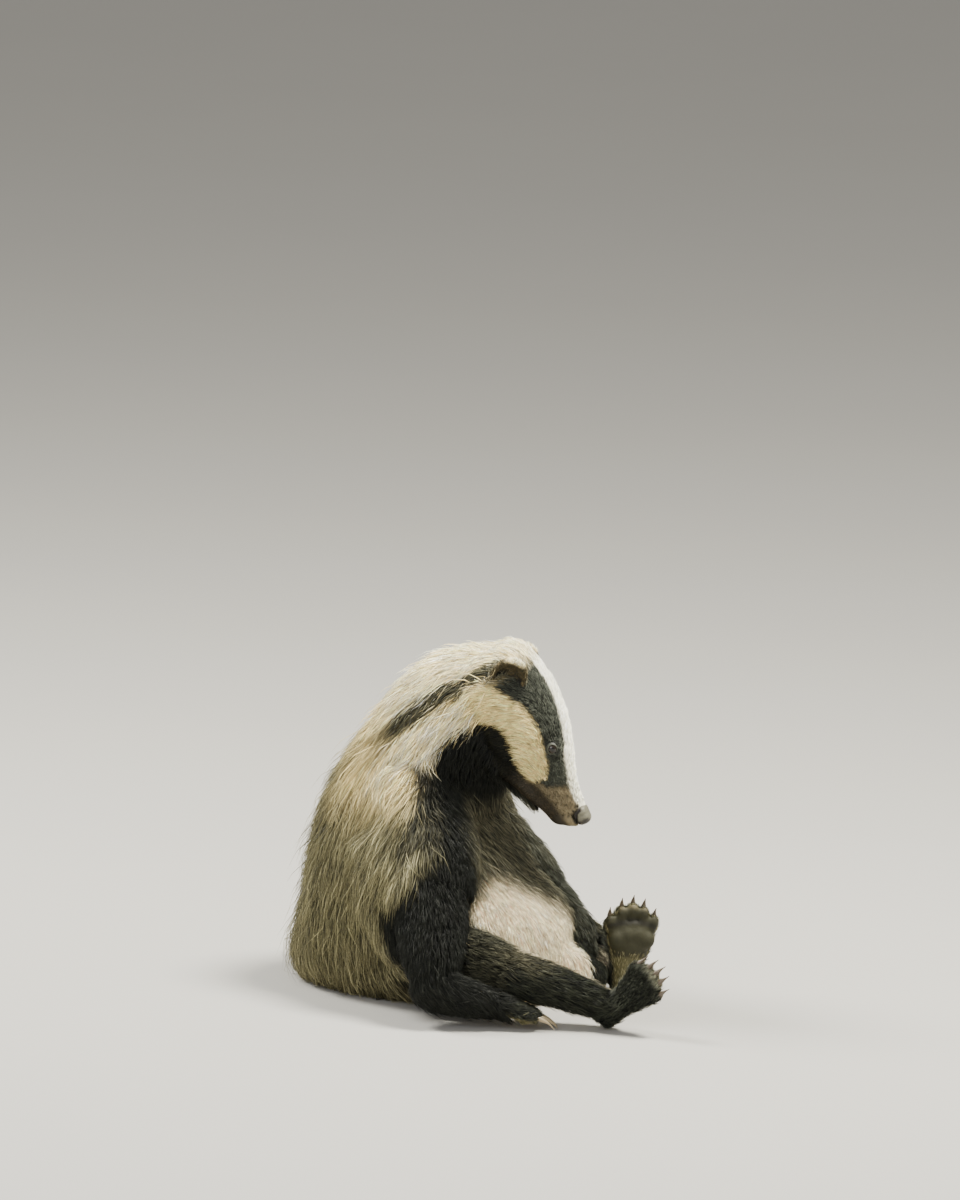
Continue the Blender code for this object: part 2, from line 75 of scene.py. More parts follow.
def smooth(low, high, x):
    u = np.clip((x - low) / (high - low), 0, 1)
    return u * u * (3 - 2 * u)


def mix(a, b, share):
    share = np.asarray(share, float)[..., None]
    return np.asarray(a) * (1 - share) + np.asarray(b) * share


def mixed(a, b, share):
    return a * (1 - share) + b * share


def tone(r, g, b):
    c = np.array([r, g, b]) / 255.0
    return np.where(c <= 0.04045, c / 12.92, ((c + 0.055) / 1.055) ** 2.4)


# the camera comes first
def placeCamera():
    a, e, r = (math.radians(camera[key]) for key in ("azimuth", "elevation", "roll"))
    back = Vector((math.sin(a) * math.cos(e), -math.cos(a) * math.cos(e), math.sin(e)))
    right = Vector((math.cos(a), math.sin(a), 0))
    up = back.cross(right)
    right, up = right * math.cos(r) + up * math.sin(r), up * math.cos(r) - right * math.sin(r)
    width, height = camera["picture"]
    scale = camera["metresPerPixel"]
    x, y = camera["pixelOfOrigin"]
    centre = right * ((width / 2 - x) * scale) + up * ((y - height / 2) * scale)
    made = bpy.data.objects.new("camera", bpy.data.cameras.new("camera"))
    made.matrix_world = Matrix.Translation(centre + back * camera["distance"]) @ Matrix(
        (right, up, back)
    ).transposed().to_4x4()
    made.data.sensor_fit = "VERTICAL"
    made.data.sensor_height = 36
    made.data.lens = 36 * camera["distance"] / (height * scale)
    made.data.clip_end = 200
    bpy.context.scene.collection.objects.link(made)
    bpy.context.scene.camera = made


placeCamera()

trunk = {  # sections: forward, left, up, half width, reach back, reach front
    "rows": np.array([
        (60, 0, -6, 64, 108, 90),
        (60, 0, 14, 82, 122, 108),
        (58, 0, 42, 94, 119, 112),
        (50, 0, 78, 95, 104, 87),
        (43, 0, 106, 90, 91, 73),
        (39, 0, 135, 83, 77, 63),
        (43, 0, 162, 75, 66, 58),
        (53, 1, 188, 67, 61, 54),
        (67, 4, 210, 61, 61, 52),
        (85, 7, 228, 55, 60, 50),
        (104, 10, 239, 49, 53, 44),
        (117, 12, 243, 40, 39, 34),
    ], float),
    "coatDepth": 8.0,
    "longInset": 1.5,
    "shortInset": 3.5,
}
tail = {
    "rows": np.array([
        (-30, 6, 24, 12, 14, 14),
        (-52, 12, 17, 15, 14, 13),
        (-67, 24, 13, 16, 13, 13.5),
        (-79, 40, 12, 15, 12, 12),
        (-88, 57, 10, 11, 10, 10),
        (-95, 71, 9, 8, 8, 8),
    ], float),
    "inset": 6.0,
}
head = {  # sections: back from the nose tip, top, bottom, half width
    "pitch": 62.5,
    "turn": 25.0,
    "noseTip": (174, 33, 151),
    "skull": np.array([
        (2, -2, -21, 7.5),
        (7, 1, -27, 12),
        (14, 3, -31.5, 15),
        (27, 5, -35.5, 18),
        (42, 9.5, -37, 21.5),
        (56, 14, -43, 26),
        (70, 18, -49, 34),
        (85, 20.5, -54, 42),
        (100, 21.5, -57, 47),
        (115, 21, -57, 48),
        (130, 19, -54, 45),
        (143, 13, -46, 37),
        (152, 3, -34, 22),
    ], float),
    "jaw": np.array([
        (9, -22, -26.5, 8),
        (17, -22, -30.5, 11.5),
        (32, -26, -38, 14.5),
        (48, -30, -44, 19),
        (64, -36, -53, 25),
        (80, -40, -59, 31),
        (96, -40, -61, 33),
        (108, -42, -58, 26),
    ], float),
    "inset": 1.6,
    "eye": (-63.5, 24.5, 0.6),
    "eyeRadius": 5.6,
    "ear": {"left": (-124, 42, -6), "right": (-131, -44, -3)},
    "snout": [  # balls at the lips, and the third on top
        ((-12, 0, -19.5), (12.5, 11.5, 10)),
        ((-4.5, 0, -14.5), (8.5, 9.5, 7.5)),
        ((-10.0, 0, -2.8), (9.0, 5.8, 4.9)),
        ((0.2, 0, -11.2), (5.6, 7.5, 4.6)),
    ],
}
limbs = {  # sections: forward, left, up, half width, reach to the top, reach to the bottom
    "upperArm": {
        "left": [(76, 36, 128, 26, 26, 26), (95, 44, 106, 28, 28, 28), (111, 54, 86, 26, 26, 26),
                 (123, 62, 69, 20, 20, 20), (127, 65, 57, 10, 10, 10)],
        "right": [(84, -54, 126, 26, 26, 28), (100, -84, 98, 31, 28, 32), (118, -108, 68, 28, 26, 29),
                  (130, -127, 42, 22, 20, 21), (134, -132, 30, 11, 10, 12)],
        "inset": 4.5,
    },
    "forearm": {
        "left": [(117, 63, 77, 10, 10, 10), (125, 62, 69, 19, 19, 19), (142, 57, 60, 17, 17, 17),
                 (158, 54, 49, 14, 14, 14), (163, 52, 44, 9, 9, 9)],
        "right": [(122, -134, 38, 9, 9, 9), (130, -131, 32, 18, 17, 18), (148, -123, 27, 17, 15, 16),
                  (168, -113, 22, 13, 12, 13), (177, -108, 19, 10, 9, 10)],
        "inset": 3.0,
    },
    "thigh": {
        "left": [(40, 48, 42, 34, 38, 34), (75, 66, 42, 32, 34, 34), (106, 80, 42, 26, 25, 29),
                 (130, 90, 39, 20, 19, 21), (141, 94, 37, 11, 11, 12)],
        "right": [(46, -44, 44, 30, 34, 32), (85, -62, 42, 33, 31, 36), (128, -74, 46, 27, 25, 32),
                  (168, -80, 45, 20, 20, 22), (182, -81, 42, 12, 12, 13)],
        "inset": 4.5,
    },
    "shank": {
        "left": [(126, 94, 40, 13, 12, 12), (138, 91, 37, 19, 18, 18), (162, 80, 29, 16, 16, 16),
                 (184, 69, 20, 14, 14, 14), (191, 65, 16, 10, 10, 11)],
        "right": [(166, -83, 45, 13, 13, 12), (180, -79, 40, 20, 19, 19), (212, -67, 31, 17, 17, 17),
                  (242, -54, 21, 14, 14, 14), (251, -50, 17, 10, 10, 11)],
        "inset": 3.5,
    },
}
feet = {  # start, the way the toes point, the way its back faces, size
    "forepaw": {
        "left": ((162, 50, 44), (17, -10, -24), (22, 10, 12), 0.84),
        "right": ((184, -99, 15.5), (36, 30, -9), (0, 0, 1), 0.85),
    },
    "hindfoot": {
        "left": ((200, 58, 4), (6, -3, 76), (-66, 74, 0), 1.04),
        "right": ((245, -50, 9.5), (48, -5, 44), (2, -20, 3), 0.87),
    },
    "palm": [(-14, 0, 3, 10, 9), (-4, 0, 1.5, 14, 9.5), (8, 0, 0, 17.5, 9), (18, 0, -2, 17, 7.5),
             (22, 0, -3, 13, 5)],
    "sole": [(-4, 0, 2, 9.5, 10), (6, 0, 2, 11.5, 13), (22, 0, 1, 12.5, 12), (38, 0, 0, 17, 10.5),
             (52, 0, -1, 19.5, 9), (60, 0, -2, 17, 6.5)],
    "inset": 1.2,
}


# forms: rings of points round a path, or round a centre
def pathAt(rows, t):
    rows = np.asarray(rows, float)
    t = np.atleast_1d(np.asarray(t, float))
    last = len(rows) - 1
    inside = np.clip(t, 0, last)
    start = np.minimum(inside.astype(int), last - 1)
    padded = np.vstack([2 * rows[0] - rows[1], rows, 2 * rows[-1] - rows[-2]])
    before, here, after, beyond = (padded[start + k] for k in range(4))
    u = (inside - start)[:, None]
    value = 0.5 * (
        2 * here
        + (after - before) * u
        + (2 * before - 5 * here + 4 * after - beyond) * u**2
        + (3 * here - before - 3 * after + beyond) * u**3
    )
    over = (t - inside)[:, None]
    return value + over * np.where(over > 0, rows[-1] - rows[-2], rows[1] - rows[0])


def framesAt(rows, t):
    ahead = pathAt(rows, t + 0.05)[:, :3] - pathAt(rows, t - 0.05)[:, :3]
    along = toWay(ahead)
    across = np.array([1.0, 0, 0]) - along * along[:, :1]
    across = unit(across)
    return along, across, np.cross(along, across)


def hairShare(angle):
    return smooth(-0.55, -0.15, np.sin(angle))


def oval(angle, squareness):
    c, s = np.cos(angle), np.sin(angle)
    return np.sign(c) * np.abs(c) ** (2 / squareness), np.sign(s) * np.abs(s) ** (2 / squareness)


def skinned(rings):
    rings = np.asarray(rings)
    count, around = rings.shape[:2]
    verts = rings.reshape(-1, 3)
    faces = []
    for ring in range(count - 1):
        for step in range(around):
            after = (step + 1) % around
            low, high = ring * around, (ring + 1) * around
            faces.append((low + step, low + after, high + after, high + step))
    faces.append(tuple(range(around))[::-1])
    faces.append(tuple(range((count - 1) * around, count * around)))
    return verts, faces


def limbForm(rows, inset, around=40, perStation=6):
    count = (len(rows) - 1) * perStation + 1
    t = np.linspace(0, len(rows) - 1, count)
    across, up = framesAt(rows, t)[1:]
    section = pathAt(rows, t)
    angle = 2 * np.pi * (np.arange(around) + 0.5) / around
    x, y = oval(angle, 2.2)
    depth = inset(angle) if callable(inset) else np.full(around, float(inset))
    half = section[:, 3:4] - depth
    reach = np.where(y > 0, section[:, 4:5], section[:, 5:6]) - depth
    offset = across[:, None] * (x * half)[..., None] + up[:, None] * (y * reach)[..., None]
    return skinned(toWorld(section[:, :3])[:, None] + offset * mm)


def headFrame():
    p, a = math.radians(head["pitch"]), math.radians(head["turn"])
    forward = toWay((math.cos(p) * math.cos(a), math.cos(p) * math.sin(a), -math.sin(p)))
    left = toWay((-math.sin(a), math.cos(a), 0))
    return toWorld(head["noseTip"]), np.array([forward, left, np.cross(forward, left)])


headStart, headAxes = headFrame()


def fromHead(points):
    return headStart + np.asarray(points, float) @ headAxes * mm


def inHead(points):
    return (points - headStart) @ headAxes.T / mm


def headForm(rows, inset, around=40, perStation=5, squareness=2.3):
    t = np.linspace(0, len(rows) - 1, (len(rows) - 1) * perStation + 1)
    back, top, bottom, half = pathAt(rows, t).T
    x, y = oval(2 * np.pi * (np.arange(around) + 0.5) / around, squareness)
    rings = np.empty((len(t), around, 3))
    rings[..., 0] = -back[:, None]
    rings[..., 1] = x * (half - inset)[:, None]
    rings[..., 2] = ((top + bottom) / 2)[:, None] + y * ((top - bottom) / 2 - inset)[:, None]
    rings[0, :, 0] -= inset
    rings[-1, :, 0] += inset
    return skinned(fromHead(rings))


def footFrame(start, toward, back, size):
    forward = toWay(toward)
    up = toWay(back)
    up = unit(up - forward * dot(up, forward))
    return toWorld(start), np.array([forward, np.cross(up, forward), up]), size


def fromFoot(place, points):
    start, axes, size = place
    return start + np.asarray(points, float) @ axes * (mm * size)


def inFoot(place, points):
    start, axes, size = place
    return (points - start) @ axes.T / (mm * size)


def footForm(place, rows, inset=0.0, around=20, perStation=4):
    t = np.linspace(0, len(rows) - 1, (len(rows) - 1) * perStation + 1)
    section = pathAt(rows, t)
    along = unit(pathAt(rows, t + 0.05)[:, :3] - pathAt(rows, t - 0.05)[:, :3])
    across = unit(np.cross(np.array([0, 0, 1.0]), along))
    up = np.cross(along, across)
    angle = 2 * np.pi * (np.arange(around) + 0.5) / around
    a, b = np.cos(angle), np.sin(angle)
    offset = across[:, None] * (a * (section[:, 3:4] - inset))[..., None]
    offset = offset + up[:, None] * (b * (section[:, 4:5] - inset))[..., None]
    return skinned(fromFoot(place, section[:, None, :3] + offset))


def ballForm(centre, radii, turn=np.eye(3), around=24, rings=16):
    level = np.pi * (np.arange(rings + 1)) / rings
    level[0], level[-1] = 0.02, np.pi - 0.02
    angle = 2 * np.pi * np.arange(around) / around
    x = np.sin(level)[:, None] * np.cos(angle)
    y = np.sin(level)[:, None] * np.sin(angle)
    z = np.repeat(-np.cos(level)[:, None], around, axis=1)
    points = np.stack([x, y, z], axis=-1) * np.asarray(radii) @ np.asarray(turn).T
    return points + np.asarray(centre)


def headBall(centre, radii, turn=np.eye(3)):
    return skinned(fromHead(ballForm(centre, radii, turn)))


def footBall(place, centre, radii):
    return skinned(fromFoot(place, ballForm(centre, radii)))


# ears: a thin leaf curled round a hollow that faces out and forward
earShape = {
    "height": 21.0,
    "width": 13.5,
    "depth": 7.0,
    "thickness": 3.0,
    "lean": -18,
    "turn": -38,
    "pitch": 42,
    # how far out, how far bulged, and 1 on the front face
    "layers": ((0.04, 1, 0), (0.45, 0.86, 0), (0.8, 0.45, 0), (1.0, 0.05, 0),
               (1.02, -0.1, 1), (0.8, 0.3, 1), (0.45, 0.72, 1), (0.04, 0.85, 1)),
}


def earTurn(name):
    side = sides[name]
    lean = Matrix.Rotation(math.radians(earShape["lean"] * side), 3, "X")
    turn = Matrix.Rotation(math.radians(earShape["turn"] * side), 3, "Z")
    pitch = Matrix.Rotation(math.radians(earShape["pitch"]), 3, "Y")
    return np.array(turn @ pitch @ lean)


def earForm(name):
    side = sides[name]
    angle = 2 * np.pi * np.arange(36) / 36
    layers = []
    for reach, bulge, front in earShape["layers"]:
        x = earShape["height"] * reach * np.cos(angle)
        z = earShape["width"] * reach * np.sin(angle)
        y = np.full(36, -bulge * earShape["depth"] + front * earShape["thickness"]) * side
        layers.append(np.stack([x, y, z], axis=-1) @ earTurn(name).T)
    return skinned(fromHead(np.array(layers) + np.array(head["ear"][name])))


def toeRows(kind, place):
    if kind == "forepaw":
        reach, y = 14 - 1.6 * place * place, 6.8 * place
        return [(6, y * 0.9, 0, 4.2, 4.5), (16, y, 0.5, 4.6, 5.0),
                (16 + reach * 0.7, y * 1.06, 0, 4.3, 4.6), (16 + reach, y * 1.1, -1.5, 2.6, 3.0)]
    root, reach, y = 52 - 1.2 * place * place, 19 - 1.3 * place * place, 8.0 * place
    return [(root, y * 0.85, 0, 4.6, 5), (root + reach * 0.5, y, 0.5, 5.0, 5.4),
            (root + reach * 0.85, y * 1.04, 0, 4.8, 5.2), (root + reach, y * 1.06, -1, 2.8, 3.0)]


def footForms(kind, side):
    place = footFrame(*feet[kind][side])
    inset = feet["inset"]
    forms = [footForm(place, feet["palm" if kind == "forepaw" else "sole"], inset)]
    for toe in range(-2, 3):
        rows = toeRows(kind, toe)
        forms.append(footForm(place, rows, 0.5))
        x, y = rows[2][0], rows[2][1]
        forms.append(footBall(place, (x - 0.5, y, -3.6), (5.4, 3.9, 3.4)))
    if kind == "hindfoot":
        for x, y, r in ((45, -10.5, 7.5), (48, -3.5, 8), (48, 4.5, 8), (45, 11, 7.5), (40, 0, 10)):
            forms.append(footBall(place, (x, y, -5.2), (r, r, 6.0)))
        forms.append(footBall(place, (9, 0, -6.5), (10.5, 9.5, 5.5)))
    else:
        for x, y, r in ((14, -8, 6), (17, 0, 7), (14, 8, 6)):
            forms.append(footBall(place, (x, y, -5.0), (r, r, 5)))
    return forms


def joinForms(name, forms):
    verts, faces, start = [], [], 0
    for points, polygons in forms:
        verts.append(points)
        faces += [tuple(start + corner for corner in polygon) for polygon in polygons]
        start += len(points)
    data = bpy.data.meshes.new(name)
    data.from_pydata(np.vstack(verts).tolist(), [], faces)
    return data


def addObject(name, data):
    made = bpy.data.objects.new(name, data)
    bpy.context.scene.collection.objects.link(made)
    return made


def applied(piece):
    evaluated = piece.evaluated_get(bpy.context.evaluated_depsgraph_get())
    data = bpy.data.meshes.new_from_object(evaluated)
    piece.modifiers.clear()
    old = piece.data
    piece.data = data
    bpy.data.meshes.remove(old)
    return piece


def outward(data):
    shape = bmesh.new()
    shape.from_mesh(data)
    parts = set(shape.faces)
    bmesh.ops.recalc_face_normals(shape, faces=list(parts))
    shape.to_mesh(data)
    shape.free()


skinMake = {
    "voxel": 0.0016,
    "smoothing": 5,
    "mostTriangles": 186000,
    "lowest": 0.0008,
    "batch": 8000,  # points read at a time
}

# muscle between the forms: the right shoulder, behind the right arm, and the lap
between = {
    "shoulder": [(56, -34, 172, 32, 30, 30), (72, -48, 142, 34, 32, 32),
                 (90, -66, 116, 34, 32, 32), (106, -86, 92, 28, 26, 26)],
    "behindArm": [(58, -56, 128, 30, 30, 30), (74, -74, 98, 32, 32, 32),
                  (92, -92, 68, 26, 26, 26), (100, -100, 44, 16, 16, 16)],
    "shoulderLeft": [(50, 34, 168, 26, 26, 26), (62, 44, 142, 26, 26, 26), (76, 46, 118, 22, 22, 22)],
    "lap": [(112, 4, 32, 34, 30, 30), (146, 14, 27, 27, 25, 25),
            (171, 28, 21, 19, 18, 18), (187, 42, 14, 11, 11, 11)],
}


def buildSkin():
    def trunkInset(angle):
        share = hairShare(angle)
        return (trunk["coatDepth"] + trunk["longInset"]) * share + trunk["shortInset"] * (1 - share)

    forms = [
        limbForm(trunk["rows"], trunkInset, 72, 8),
        limbForm(tail["rows"], tail["inset"], 24, 6),
        headForm(head["skull"], head["inset"]),
        headForm(head["jaw"], 0.4),
    ]
    x, y, z = head["eye"]
    for name, side in sides.items():
        forms.append(headBall((x, y * side, z), (8.6, 4.4, 8.0)))
        forms.append(headBall((x - 5, (y - 7) * side, z + 5.5), (11, 6, 4.6)))  # brow
        forms.append(earForm(name))
        for limb in limbs.values():
            forms.append(limbForm(limb[name], limb["inset"], 32, 6))
        for kind in ("forepaw", "hindfoot"):
            forms += footForms(kind, name)
    forms += [limbForm(rows, 0.0, 32, 6) for rows in between.values()]
    forms += [headBall(*ball) for ball in head["snout"]]
    data = joinForms("skin", forms)
    outward(data)
    skin = addObject("skin", data)
    remesh = skin.modifiers.new("remesh", "REMESH")
    remesh.mode = "VOXEL"
    remesh.voxel_size = skinMake["voxel"]
    relax = skin.modifiers.new("relax", "SMOOTH")
    relax.factor = 0.5
    relax.iterations = skinMake["smoothing"]
    applied(skin)
    points = coordinates(skin.data)
    points[:, 2] = np.maximum(points[:, 2], skinMake["lowest"])
    local = inHead(points)
    x, y, z = local.T
    snout = (np.abs(x - 1) < 6) & (np.abs(y) < 16) & (z > -16) & (z < 8)
    room = smooth(-11, -8, z) * 0.85  # the skin draws back so that the nose pad has room
    local[:, 0] = np.where(snout, x - (x + 5) * room, x)
    points[snout] = fromHead(local[snout])
    skin.data.vertices.foreach_set("co", points.reshape(-1).astype(np.float32))
    print("skin remeshed:", len(skin.data.polygons), "faces")
    thinSkin(skin)
    return skin


def coordinates(data):
    points = np.empty(len(data.vertices) * 3, np.float32)
    data.vertices.foreach_get("co", points)
    return points.reshape(-1, 3).astype(float)


def thinSkin(skin):
    points = coordinates(skin.data)
    local = inHead(points)
    keep = smooth(-160, -120, local[:, 0]) * (np.abs(local[:, 1]) < 60)
    for kind in ("forepaw", "hindfoot"):
        for name in sides:
            place = footFrame(*feet[kind][name])
            near = np.linalg.norm(inFoot(place, points) - np.array([30, 0, 0]), axis=1)
            keep = np.maximum(keep, smooth(60, 50, near))
    group = skin.vertex_groups.new(name="thin")
    for weight in (0.0, 0.5, 1.0):
        chosen = np.nonzero(np.abs((1 - keep) - weight) <= 0.25)[0]
        group.add(chosen.tolist(), weight, "REPLACE")
    triangles = sum(len(polygon.vertices) - 2 for polygon in skin.data.polygons)
    thin = skin.modifiers.new("thin", "DECIMATE")
    thin.ratio = min(1.0, skinMake["mostTriangles"] / triangles)
    thin.vertex_group = "thin"
    applied(skin)
    skin.vertex_groups.clear()
    print("skin thinned:", triangles, "to", len(skin.data.polygons))


skin = buildSkin()


eye = {
    "turnForward": 12.0,
    "turnUp": 12.0,
    "aperture": (3.8, 3.5),
    # the lid's rings: how far out, how high, and how dark
    "lid": ((0.98, 0.15, 0.2), (0.98, 0.6, 0), (1.08, 0.9, 0.15), (1.22, 0.8, 0.6),
            (1.42, 0.3, 1), (1.65, -0.6, 1), (1.55, -1.6, 1), (1.15, -0.9, 0.4)),
    "lidTones": (tone(66, 68, 56), tone(40, 41, 34)),
    "iris": ((0.30, (0.004, 0.004, 0.004)), (0.36, tone(36, 26, 18)), (0.62, tone(26, 20, 15)),
             (0.72, tone(12, 10, 9)), (1.0, tone(50, 40, 34))),  # from the pupil outward
}

# what lies under each point of the skin: the form, how far along it, and the way its hair lies
lie = {"gravity": 0.42, "sharpness": 9.0}


def axisSamples():
    centres, radii, ways, forms, places = [], [], [], [], []

    def add(points, radius, way, form, t):
        centres.append(points)
        radii.append(radius)
        ways.append(way)
        forms.append(np.full(len(points), form))
        places.append(t)

    t = np.linspace(0.2, len(trunk["rows"]) - 1, 110)
    section = pathAt(trunk["rows"], t)
    add(toWorld(section[:, :3]), section[:, 3] * mm, -framesAt(trunk["rows"], t)[0], 0, t)
    t = np.linspace(1, len(tail["rows"]) - 1, 20)
    section = pathAt(tail["rows"], t)
    add(toWorld(section[:, :3]), section[:, 3] * mm, framesAt(tail["rows"], t)[0], 1, t)
    t = np.linspace(0, len(head["skull"]) - 1, 50)
    back, top, bottom, half = pathAt(head["skull"], t).T
    points = fromHead(np.stack([-back, 0 * back, (top + bottom) / 2], axis=-1))
    add(points, (half + (top - bottom) / 2) / 2 * mm, np.tile(-headAxes[0], (50, 1)), 2, t)
    form = 3
    for limb in limbs.values():
        for name in sides:
            rows = np.array(limb[name], float)
            t = np.linspace(0, len(rows) - 1, 24)
            section = pathAt(rows, t)
            add(toWorld(section[:, :3]), section[:, 3] * mm, framesAt(rows, t)[0], form, t)
            form += 1
    for kind in ("forepaw", "hindfoot"):
        for name in sides:
            place = footFrame(*feet[kind][name])
            x = np.linspace(-2, 74 if kind == "hindfoot" else 34, 24)
            points = fromFoot(place, np.stack([x, 0 * x, 0 * x], axis=-1))
            add(points, np.full(24, 15 * mm), np.tile(place[1][0], (24, 1)), form, x)
            form += 1
    return tuple(np.concatenate(part) for part in (centres, radii, ways, forms, places))


formNames = ["trunk", "tail", "head"]
formNames += [f"{limb}_{name}" for limb in limbs for name in sides]
formNames += [f"{kind}_{name}" for kind in ("forepaw", "hindfoot") for name in sides]


def roundTrunk(points, t):
    across, up = framesAt(trunk["rows"], t)[1:]
    offset = points - toWorld(pathAt(trunk["rows"], t)[:, :3])
    angle = np.degrees(np.arctan2(dot(offset, up), dot(offset, across)))
    return (angle + 90) % 360 - 180  # 0 along the back, + on the right side


def nearestNeck(points):
    t = np.linspace(8.5, 11, 26)
    centres = toWorld(pathAt(trunk["rows"], t)[:, :3])
    return t[np.linalg.norm(points[:, None] - centres[None], axis=2).argmin(axis=1)]


def readSkin(skin):
    points = coordinates(skin.data)
    normals = np.empty(len(points) * 3, np.float32)
    skin.data.vertices.foreach_get("normal", normals)
    normals = normals.reshape(-1, 3).astype(float)
    centres, radii, ways, forms, places = axisSamples()
    form = np.empty(len(points), int)
    place = np.empty(len(points))
    flow = np.empty((len(points), 3))
    for start in range(0, len(points), skinMake["batch"]):
        some = slice(start, start + skinMake["batch"])
        gap = np.linalg.norm(points[some][:, None] - centres[None], axis=2) / radii
        nearest = gap.argmin(axis=1)
        weight = np.exp(-lie["sharpness"] * (gap - gap.min(axis=1)[:, None]))
        form[some] = forms[nearest]
        place[some] = places[nearest]
        flow[some] = weight @ ways / weight.sum(axis=1)[:, None]
    local = inHead(points)
    crown = (form == 0) & (local[:, 0] > -130) & (local[:, 2] > -20)
    form[crown] = 2
    onHead = form == 2
    trunkPlace = np.where(onHead, 11.0, place)
    trunkPlace[onHead] = nearestNeck(points[onHead])
    flow[crown] = -headAxes[0]
    flow[:, 2] -= lie["gravity"] * np.where(onHead, 0.12, 1.0) * (form < 7)
    cheek = smooth(60, 110, -local[:, 0]) * smooth(10, -30, local[:, 2]) * onHead
    flow += (headAxes[1] * np.sign(local[:, 1:2]) * 0.35 - headAxes[2] * 0.5) * cheek[:, None]
    for name in sides:  # on an ear the hair lies toward its top
        on = onEar(points, name)
        flow[on] = -(earTurn(name)[:, 0] @ headAxes)
    flow -= normals * dot(flow, normals)[:, None]
    return {
        "points": points,
        "normals": normals,
        "form": form,
        "place": place,
        "trunkPlace": trunkPlace,
        "fromBack": roundTrunk(points, trunkPlace),
        "flow": unit(flow),
    }


def inEar(points, name):
    return (inHead(points) - np.array(head["ear"][name])) @ earTurn(name)


def onEar(points, name):
    local = inHead(points)
    rows = head["skull"]
    top, bottom, half = (np.interp(-local[:, 0], rows[:, 0], rows[:, k]) for k in (1, 2, 3))
    level = np.abs(local[:, 2] - (top + bottom) / 2) / ((top - bottom) / 2)
    reach = ((np.abs(local[:, 1]) / half) ** 2.3 + level**2.3) ** (1 / 2.3)
    ear = inEar(points, name) / (np.array([earShape["height"], 10.0, earShape["width"]]) * 1.08)
    return (np.linalg.norm(ear, axis=1) < 1) & (reach > 1.03)


def eyeFrame(name):
    side = sides[name]
    forward, up = math.radians(eye["turnForward"]), math.radians(eye["turnUp"])
    out = unit(np.array([math.sin(forward), side * math.cos(forward) * math.cos(up), math.sin(up)]))
    along = unit(np.array([1.0, 0, 0]) - out * out[0])
    x, y, z = head["eye"]
    return np.array([x, y * side, z]), np.array([along, np.cross(out, along), out])


def fromEye(points):
    gap = np.full(len(points), 99.0)
    for name in sides:
        centre, axes = eyeFrame(name)
        local = (inHead(points) - centre) @ axes.T
        gap = np.minimum(gap, np.hypot(local[:, 0], local[:, 1]) + 50 * (local[:, 2] < 0))
    return gap


nose = {
    "voxel": 0.0005,
    "place": (-0.2, 0, -4.8),
    "radii": (6.8, 9.2, 6.9),
    "rear": ((-4.0, 0, -4.6), (5.6, 9.6, 7.0)),
    "slit": ((3.8, 3.0, -8.8), (1.6, 6.0, -9.8), (-1.6, 8.4, -9.4), (-4.8, 9.4, -6.8), (-6.4, 9.0, -3.6)),
    "groove": 1.0,
    # the pad's own colour, and the dark that its painted shade reaches
    "tones": (tone(100, 97, 80), tone(30, 25, 22)),
}


def slitSpots():
    path = np.array(nose["slit"])
    u = np.linspace(0, len(path) - 1, 25)
    return np.stack([np.interp(u, range(len(path)), path[:, k]) for k in range(3)], axis=1)


def fromSlit(local):
    alike = np.stack([local[:, 0], np.abs(local[:, 1]), local[:, 2]], axis=1)
    near = np.nonzero(local[:, 0] > -20)[0]
    gap = np.full(len(local), 99.0)
    gap[near] = np.linalg.norm(alike[near][:, None] - slitSpots()[None], axis=2).min(axis=1)
    return gap


body = readSkin(skin)
print("lie of the coat read on", len(body["points"]), "points")

tones = {
    "white": tone(255, 251, 228),
    "cream": tone(252, 228, 164),
    "creamLow": tone(218, 199, 142),
    "paleTan": tone(160, 152, 116),
    "tan": tone(118, 113, 86),
    "rump": tone(104, 98, 74),
    "dark": tone(44, 43, 30),
    "black": tone(38, 40, 34),
    "jet": tone(12, 14, 11),
    "grey": tone(66, 69, 56),
    "slate": tone(100, 103, 90),
    "paleTip": tone(190, 180, 136),
    "flankTip": tone(172, 164, 122),
    "chest": tone(54, 52, 40),
    "chestTip": tone(128, 123, 98),
    "muzzle": tone(158, 144, 112),
    "muzzleLow": tone(98, 86, 64),
    "lip": tone(46, 41, 31),
    "belly": tone(246, 230, 194),
    "bellyTip": tone(255, 241, 206),
    "bellySkin": tone(222, 188, 156),
    "sole": tone(78, 74, 48),
    "solePale": tone(118, 112, 76),
    "pad": tone(44, 43, 26),
    "padTip": tone(116, 107, 82),
    # the dark of the painted shade in the sole's creases
    "creaseShade": tone(26, 24, 17),
    "earBack": tone(112, 98, 68),
}

